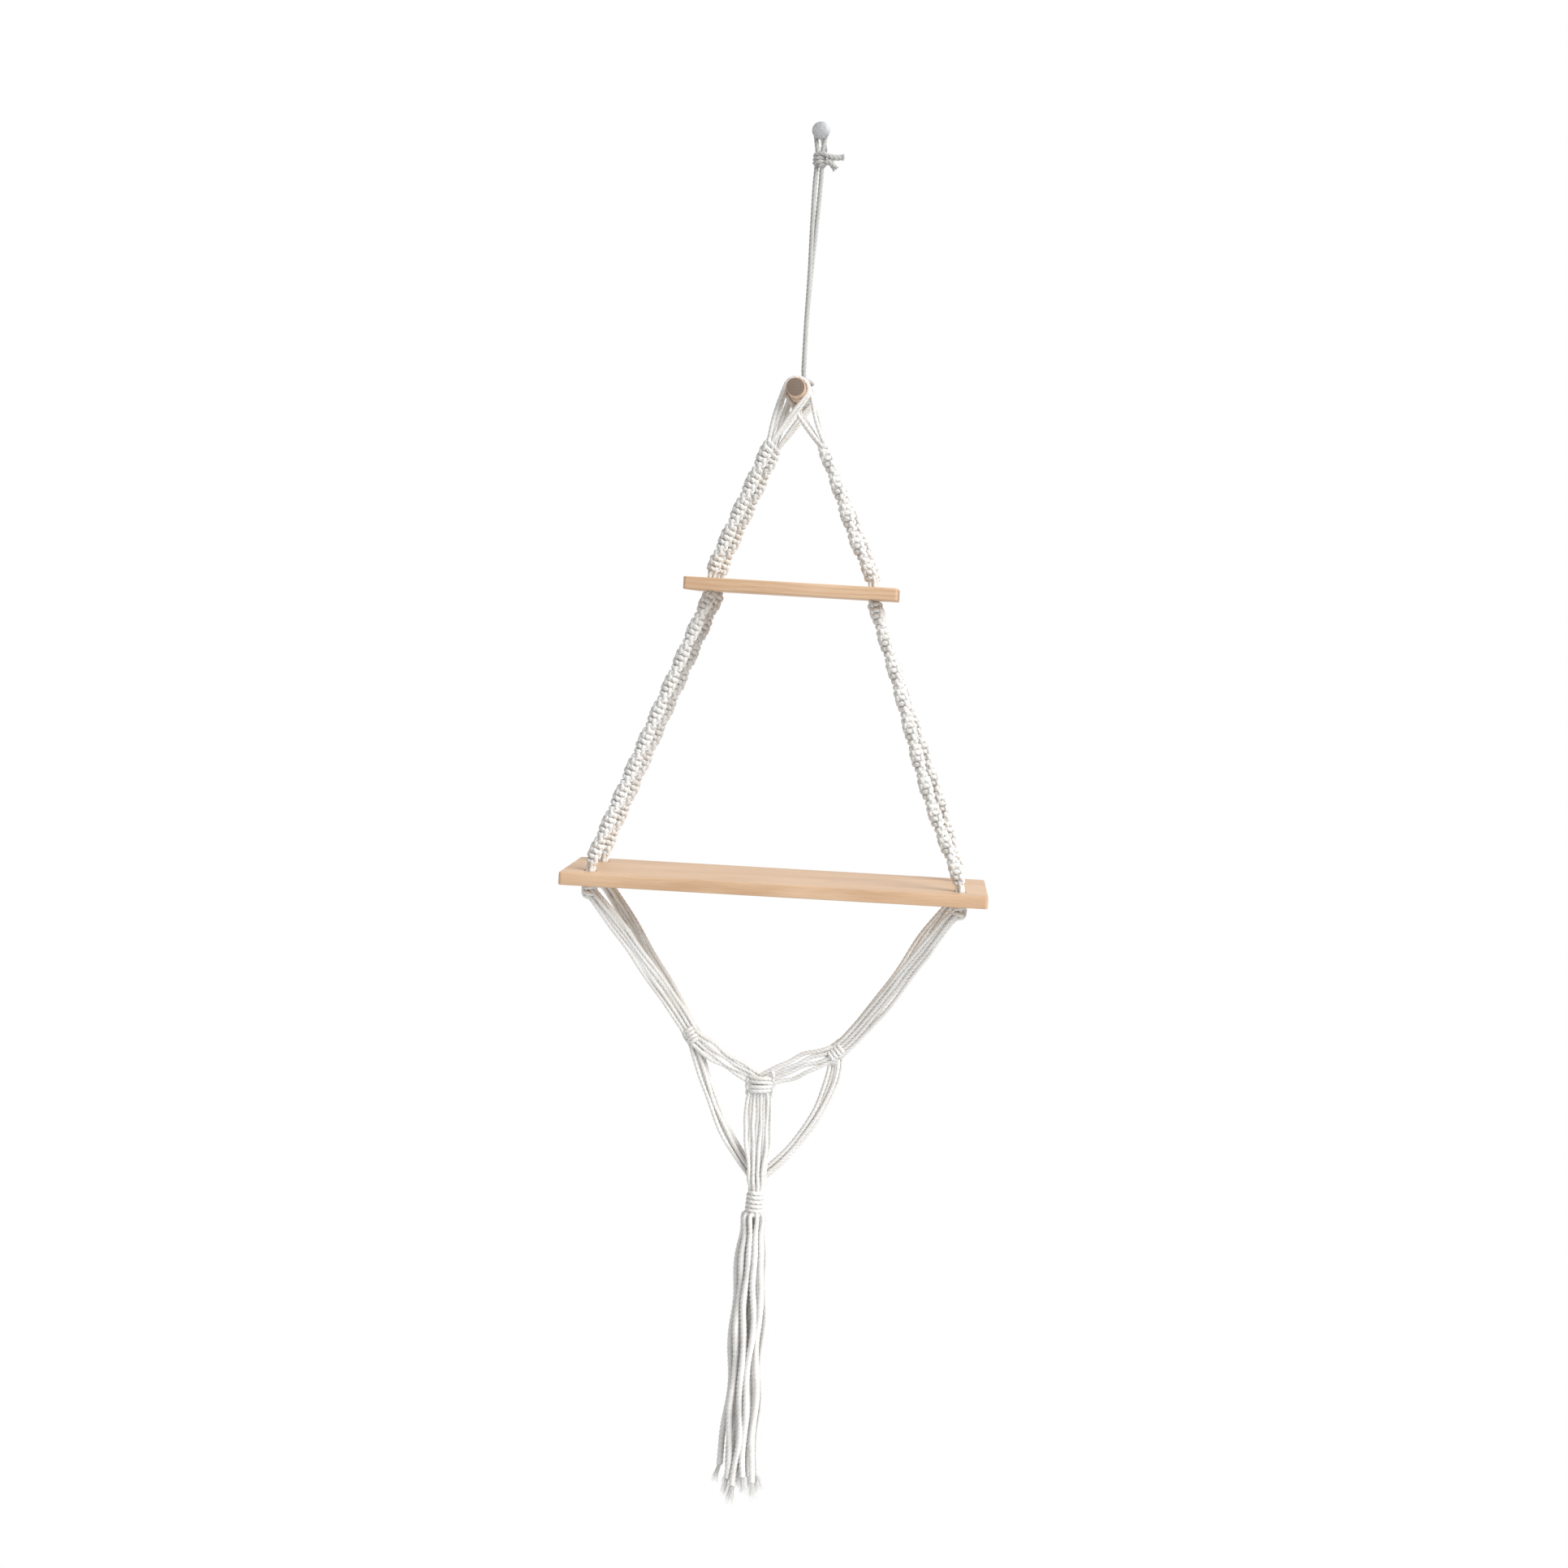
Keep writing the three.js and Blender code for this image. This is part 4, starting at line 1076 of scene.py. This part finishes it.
def build_stop_knots():
    """A square knot of each sinnet's four cords holds the lower plank up."""
    under = LOWER_PLANK["z"] - PLANK_THICKNESS / 2
    aside = CORD_RADIUS * np.array((math.cos(EIGHTH_TURN), -math.sin(EIGHTH_TURN), 0))
    for name, side_name, y, side in corners():
        x = side * LOWER_PLANK["hole"]
        leave = flat_way(SIDE_KNOTS[side_name]["leave"])
        lines = square_knot((x, y, STOP_KNOT_Z), DOWN, leave, **KNOT_SIZES["stop"])
        for shift in (aside, -aside):
            lines.append(spaced([shift + (x, y, under + 4), shift + (x, y, under - 9)], 1.0))
        dressed(laid(f"stop_knot_cords_{name}", lines), "shelf", f"stop_knot_{name}")


def build_leads():
    """The four cords of each stop knot run to the side knot on their side."""
    for side_name, side in SIDES.items():
        knot = SIDE_KNOTS[side_name]
        leave, way = flat_way(knot["leave"]), flat_way(knot["lead"])
        for row, y in ROW_Y.items():
            start = np.array((side * LOWER_PLANK["hole"], y, STOP_KNOT_Z)) + leave * STOP_KNOT_REACH
            end = np.array(knot["at"], float) - way * SIDE_KNOT_REACH + (0, math.copysign(LAYER, y), 0)
            lines = abreast(
                hanging_route(start, leave, end, way, 0.12, 0.2),
                SINNET_CORDS,
                lambda s: CORD * (0.62 + 0.4 * smooth_share(s, 0, 0.3) - 0.12 * smooth_share(s, 0.85, 1)),
                lambda s: 1.5 * (1 - smooth_share(s, 0, 0.3)),
                wander=0.9,
                seed=side + (42 if row == "rear" else 52),
                before=7.5,
                after=8.5,
            )
            name = f"{row}_{side_name}"
            dressed(laid(f"lead_cords_{name}", lines), "shelf", f"net_lead_{name}")


def build_side_knots():
    """A square knot of doubled cords where the two leads of a side meet."""
    for side_name in SIDES:
        knot = SIDE_KNOTS[side_name]
        way, leave = flat_way(knot["lead"]), flat_way(knot["lower"])
        lines = square_knot(knot["at"], way, leave, **KNOT_SIZES["side"])
        dressed(laid(f"side_knot_cords_{side_name}", lines), "shelf", f"side_knot_{side_name}")


def build_branches():
    """From each side knot four cords run to the centre knot, and four hang down to the junction."""
    for side_name, side in SIDES.items():
        knot = SIDE_KNOTS[side_name]
        centre = np.array(knot["at"], float)
        upper, centre_way = flat_way(knot["upper"]), flat_way(CENTRE_WAYS[side_name])
        start = centre + upper * SIDE_KNOT_REACH - (0, LAYER, 0)
        end = CENTRE_KNOT - centre_way * CENTRE_KNOT_REACH + (0, 0, 2.0)
        route = hanging_route(start, upper, end, centre_way)
        apart = UPPER_BRANCH_SPACING[side_name]
        lines = abreast(route, SINNET_CORDS, apart, wander=1.2, seed=60 + side, before=7.5, after=9.0)
        dressed(laid(f"upper_branch_cords_{side_name}", lines), "shelf", f"upper_branch_{side_name}")

        lower, junction_way = flat_way(knot["lower"]), flat_way(JUNCTION_WAYS[side_name])
        start = centre + lower * SIDE_KNOT_REACH + (0, LAYER, 0)
        end = JUNCTION - junction_way * JUNCTION_REACH
        end[1] = JUNCTION_DEPTH
        lines = abreast(
            hanging_route(start, lower, end, junction_way),
            SINNET_CORDS,
            LOWER_BRANCH_SPACING[side_name],
            lambda s: 1.2 + 0.4 * smooth_share(s, 0.65, 1),
            wander=0.8,
            seed=80 + side,
            before=8.5,
            after=2.0,
        )
        BRANCH_ENDS.extend(line[-1] for line in lines)
        for number, line in enumerate(lines, 1):
            cord = laid(f"lower_branch_cord_{side_name}_{number}", [line], phases=[number * 1.9])
            dressed(cord, "shelf", f"lower_branch_{side_name}")
            declared(cord, line, "hanging")


def build_centre():
    """Doubled square knot where the upper branches meet, and the eight cords that hang from it."""
    lines = square_knot(CENTRE_KNOT, DOWN, DOWN, tuck=1.2, **KNOT_SIZES["centre"])
    lines += abreast(spaced([CENTRE_KNOT + (0, 0, 5), CENTRE_KNOT - (0, 0, 12)], 2.0), SINNET_CORDS, CORD)
    dressed(laid("centre_knot_cords", lines), "shelf", "centre_knot")

    start = CENTRE_KNOT + (0, -0.4, -9.1)
    end = JUNCTION + (0, -JUNCTION_DEPTH, 7.4)
    lines = abreast(
        hanging_route(start, DOWN, end, DOWN),
        2 * SINNET_CORDS,
        lambda s: CORD * (0.62 + 0.22 * smooth_share(s, 0, 0.2) - 0.3 * smooth_share(s, 0.55, 1)),
        lambda s: 0.3 + 1.6 * smooth_share(s, 0.55, 1),
        wander=0.7,
        seed=91,
        before=9.0,
        after=1.0,
    )
    DROP_ENDS.extend(line[-1] for line in lines)
    dressed(laid("centre_drop_cords", lines), "shelf", "centre_drop")


STRAND_SCALE = 1.5
STRAND_WAVE = {"size": 1.3, "length": 84.0}
FLICKED_STRAND = {"number": 12, "aside": 6.0}
# How many points of a strand its frayed tip stands in for
FRAYED_POINTS = 11
# Each ring's number of strands, the tilt at which they leave the neck and the angle of the first one
STRAND_RINGS = [(1, 0, 0), (5, 25, 12), (10, 50, 0)]
# The heights at which a strand's place is given, and how far out each ring's strands are at each of them
STATION_SHARES = [0.06, 0.15, 0.4, 0.72, 1]
OUT_SHARES = [
    [0, 0.02, 0.04, 0.03, 0.05],
    [0.33, 0.4, 0.45, 0.47, 0.5],
    [0.66, 0.83, 0.93, 0.96, 1],
]
# By how many degrees each strand strays at its last three heights, and its share of the tassel's length
STRAND_SHARES = [
    ((0, 0, 0), 0.97),
    ((5, -4, 6), 1),
    ((-5, 4, 2), 0.96),
    ((3, -6, -4), 0.985),
    ((-4, 5, -6), 1.01),
    ((6, 2, -3), 0.975),
    ((4, -5, 3), 0.99),
    ((-3, 4, -5), 1.015),
    ((5, -2, 4), 0.97),
    ((-5, 5, -2), 1),
    ((2, -4, 5), 0.985),
    ((-4, 3, -4), 0.955),
    ((4, -3, 2), 0.99),
    ((-2, 5, -5), 1.01),
    ((5, -5, 3), 0.975),
    ((-4, 2, -3), 1),
]


def neck_places(radii):
    """The places of the sixteen cords in a cross-section of the neck."""
    places = []
    for (count, _, phase), radius in zip(STRAND_RINGS, radii):
        for i in range(count):
            turn = math.radians(phase + 360 * i / count)
            places.append((radius * math.cos(turn), radius * math.sin(turn)))
    return places


def build_junction():
    """The net's sixteen cords gather, bulge a little and slip into the neck's wrapping, where they thin."""
    bulge, mouth, foot, spread = 1.2, -6.0, -16.0, 1.12
    ends = [np.array(p, float) for p in DROP_ENDS + BRANCH_ENDS]
    targets = neck_places((0, 2.6, 5.2))
    free = list(range(len(targets)))
    lines, radii = [], []
    for end in sorted(ends, key=lambda p: -np.hypot(*(p - JUNCTION)[:2])):
        out = (end - JUNCTION)[:2]
        pick = min(free, key=lambda i: np.hypot(*(np.array(targets[i]) * 1.6 - out)))
        free.remove(pick)
        x, y = targets[pick]
        middle = (end + JUNCTION + (x, y, 0)) / 2 + unit((x + 1e-6, y, 0)) * bulge
        middle[2] = JUNCTION[2] + 1.0
        low = JUNCTION + (x * spread, y * spread, mouth)
        line = rounded([end + (0, 0, 1.0), middle, low, JUNCTION + (x, y, foot)])
        lines.append(line)
        radii.append(1 - 0.25 * smooth_share(share_along(line), 0.45, 0.9))
    cords = laid("junction_cords", lines, radii)
    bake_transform(cords)
    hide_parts("junction_knot")


def build_neck():
    """Wrapping of the tassel's neck, with the cord's two ends tucked in."""
    top, bottom = NECK_WRAP["top"], NECK_WRAP["bottom"]
    share = np.linspace(0, 1, 240)
    angle = share * NECK_WRAP["turns"] * 2 * np.pi + NECK_WRAP["start"]
    radius = NECK_RADII[0] - CORD_RADIUS + (NECK_RADII[1] - NECK_RADII[0]) * share
    radius = radius - NECK_WRAP["tucks"][0] * (1 - smooth_share(share, 0, 0.06))
    radius = radius - NECK_WRAP["tucks"][1] * smooth_share(share, 0.95, 1)
    x, y = JUNCTION[0] + radius * np.cos(angle), JUNCTION[1] + radius * np.sin(angle)
    wrap = np.stack([x, y, top + (bottom - top) * share], axis=1)
    # The wrap's cotton is painted lighter than the shelf's: painted light
    dressed(laid("neck_wrap", [wrap], Finish=PAINTED_LIGHT_COTTON), "neck", "tassel_neck")


def strand_line(ring, azimuth, wander, length, aside):
    """From inside the neck, over its foot and down, waving a little. aside moves the tip outwards."""
    tilt, turn = math.radians(STRAND_RINGS[ring][1]), math.radians(azimuth)
    way = np.array((math.sin(tilt) * math.cos(turn), math.sin(tilt) * math.sin(turn), -math.cos(tilt)))
    foot = np.array((JUNCTION[0], 0, NECK_FOOT_Z))
    points = [foot + way * out for out in (6.0, NECK_RADII[1] + SEAT, NECK_RADII[1] + CORD)]
    for share, out, strays in zip(STATION_SHARES, OUT_SHARES[ring], (0, 0, *wander)):
        moved = turn + math.radians(strays) + 0.14 * math.sin(2 * turn)
        x = foot[0] + out * TASSEL["half_width"] * math.cos(moved)
        y = foot[1] + out * TASSEL["half_depth"] * math.sin(moved)
        points.append((x, y, NECK_FOOT_Z - NECK_RADII[1] - share * length * TASSEL["length"]))
    points[-1] = np.array(points[-1]) + unit((math.cos(turn), math.sin(turn), 0)) * aside
    line = rounded(points)
    way = travelled(line)
    swell = smooth_share(way, 25, 80) * STRAND_WAVE["size"]
    phase = way * 2 * np.pi / STRAND_WAVE["length"] + 2.4 * turn
    line[:, 0] += np.sin(phase) * swell
    line[:, 1] += np.cos(phase * 1.3) * swell
    return line


def build_tassel():
    """Sixteen combed cords in three rings under the neck, each with a frayed tip, in cotton with painted
    light.
    """
    places = []
    for ring, (count, _, phase) in enumerate(STRAND_RINGS):
        places += [(ring, phase + 360 * i / count) for i in range(count)]
    for number, ((ring, azimuth), (wander, length)) in enumerate(zip(places, STRAND_SHARES), 1):
        name = f"{number:02d}"
        aside = FLICKED_STRAND["aside"] if number == FLICKED_STRAND["number"] else 0
        whole = strand_line(ring, azimuth, wander, length, aside)
        line = whole[:-FRAYED_POINTS]
        scale = 1 + (STRAND_SCALE - 1) * smooth_share(travelled(line), 4, 45)
        strand = laid(f"tassel_cord_{name}", [line], [scale], [number * 1.3], Finish=PAINTED_LIGHT_COTTON)
        turn = math.radians(azimuth)
        out = np.array((math.cos(turn), math.sin(turn), 0)) * (ring > 0)
        way = unit(unit(whole[-1] - line[-1]) + 0.2 * out)
        tip = frayed(f"tassel_tip_{name}", line[-1] - way, way, number, Finish=PAINTED_LIGHT_COTTON)
        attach(tip, "tassel")
        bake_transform(strand)
        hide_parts(f"tassel_strand_{name}")
        declared(strand, line, "hanging", "bare", with_pieces=[tip])


# Studio


def build_camera():
    """Stands a little right of the shelf's middle and looks straight back, level but for a small roll."""
    data = bpy.data.cameras.new("view_of_the_shelf")
    data.sensor_width = 36
    data.lens = 48.65
    data.shift_x, data.shift_y = -0.0885, -0.1014
    data.clip_end = 50
    camera = linked(bpy.data.objects.new("view_of_the_shelf", data))
    right, raised = Vector((0.9983, 0, 0.0576)), Vector((-0.0576, 0, 0.9983))
    turned = Matrix((right, raised, right.cross(raised))).transposed()
    stand = Vector((0.1245, -2.032, -0.4667))
    camera.matrix_world = Matrix.Translation(stand) @ turned.to_4x4()
    bpy.context.scene.camera = camera
    bpy.context.scene.view_settings.view_transform = "Standard"


def build_studio():
    """A broad sun, a pale room that is brighter to the camera than to the surfaces, and a pale floor."""
    key = bpy.data.lights.new("key", "SUN")
    key.energy = 3.1
    key.angle = math.radians(45)
    sun = linked(bpy.data.objects.new("key", key))
    sun.rotation_euler = Vector((1.6, -1.1, 1.45)).to_track_quat("Z", "Y").to_euler()
    world = bpy.data.worlds.new("pale_room")
    bpy.context.scene.world = world
    world.use_nodes = True
    world.node_tree.nodes.clear()
    g = Graph(world.node_tree)
    paths = [g.node("ShaderNodeLightPath", output=name) for name in ("Is Camera Ray", "Is Glossy Ray")]
    lit, seen = 0.47, 1.0
    strength = lit + g.math("MAXIMUM", *paths) * (seen - lit)
    glow = g.node("ShaderNodeBackground", {}, {"Color": (1, 1, 1, 1), "Strength": strength})
    g.node("ShaderNodeOutputWorld", {}, {"Surface": glow})
    floor = bpy.data.meshes.new("floor")
    corner_places = [(-2.2, -2.6), (2.2, -2.6), (2.2, 0.6), (-2.2, 0.6)]
    floor.from_pydata([(x, y, FLOOR_Z) for x, y in corner_places], [], [(0, 1, 2, 3)])
    floor.materials.append(studio_finish("floor", (0.97, 0.97, 0.97)))
    linked(bpy.data.objects.new("floor", floor))


LAID_CORD = grow_laid_cord()
SPIRAL_SINNET = grow_spiral_sinnet(LAID_CORD)
FRAYED_TIP = grow_frayed_tip()

# Each cotton's second tone is the painted shade in the grooves between its plies
COTTON = cotton_finish("cotton_cord", (0.93, 0.92, 0.9), (0.87, 0.855, 0.83))
# A lighter copy of the cotton for the neck wrap and the tassel: painted light that brightens them
PAINTED_LIGHT_COTTON = cotton_finish("painted_light_cotton", (0.97, 0.965, 0.95), (0.92, 0.91, 0.89))
HANGER_COTTON = cotton_finish("hanging_cord_cotton", (0.62, 0.62, 0.61), (0.5, 0.5, 0.49))
PLANK_TONES = ((0.77, 0.545, 0.36), (0.62, 0.39, 0.23), (0.52, 0.35, 0.21))
UPPER_WOOD = wood_finish("upper_plank_wood", (0, 0, UPPER_PLANK["z"]), 0, *PLANK_TONES)
LOWER_WOOD = wood_finish("lower_plank_wood", (0, 0, LOWER_PLANK["z"]), 0, *PLANK_TONES, heart=(-78.0, 20.0))
BAR_TONES = ((0.77, 0.56, 0.4), (0.58, 0.38, 0.25), (0.27, 0.2, 0.155))
BAR_WOOD = wood_finish("bar_wood", (BAR["x"], 0, BAR["z"]), 1, *BAR_TONES, ring=2.2, heart=(2.0, 1.0))
NAIL_STEEL = nail_finish()
BRANCH_ENDS, DROP_ENDS = [], []

build_camera()
build_nail()
build_eye()
build_hanger_knot()
build_legs()
build_bar()
build_hitch()
build_saddles()
build_sinnets()
build_plank("upper_board", "upper_plank", UPPER_PLANK, UPPER_WOOD)
build_plank("lower_board", "lower_plank", LOWER_PLANK, LOWER_WOOD)
build_stop_knots()
build_leads()
build_side_knots()
build_branches()
build_centre()
build_junction()
build_neck()
build_tassel()
build_studio()
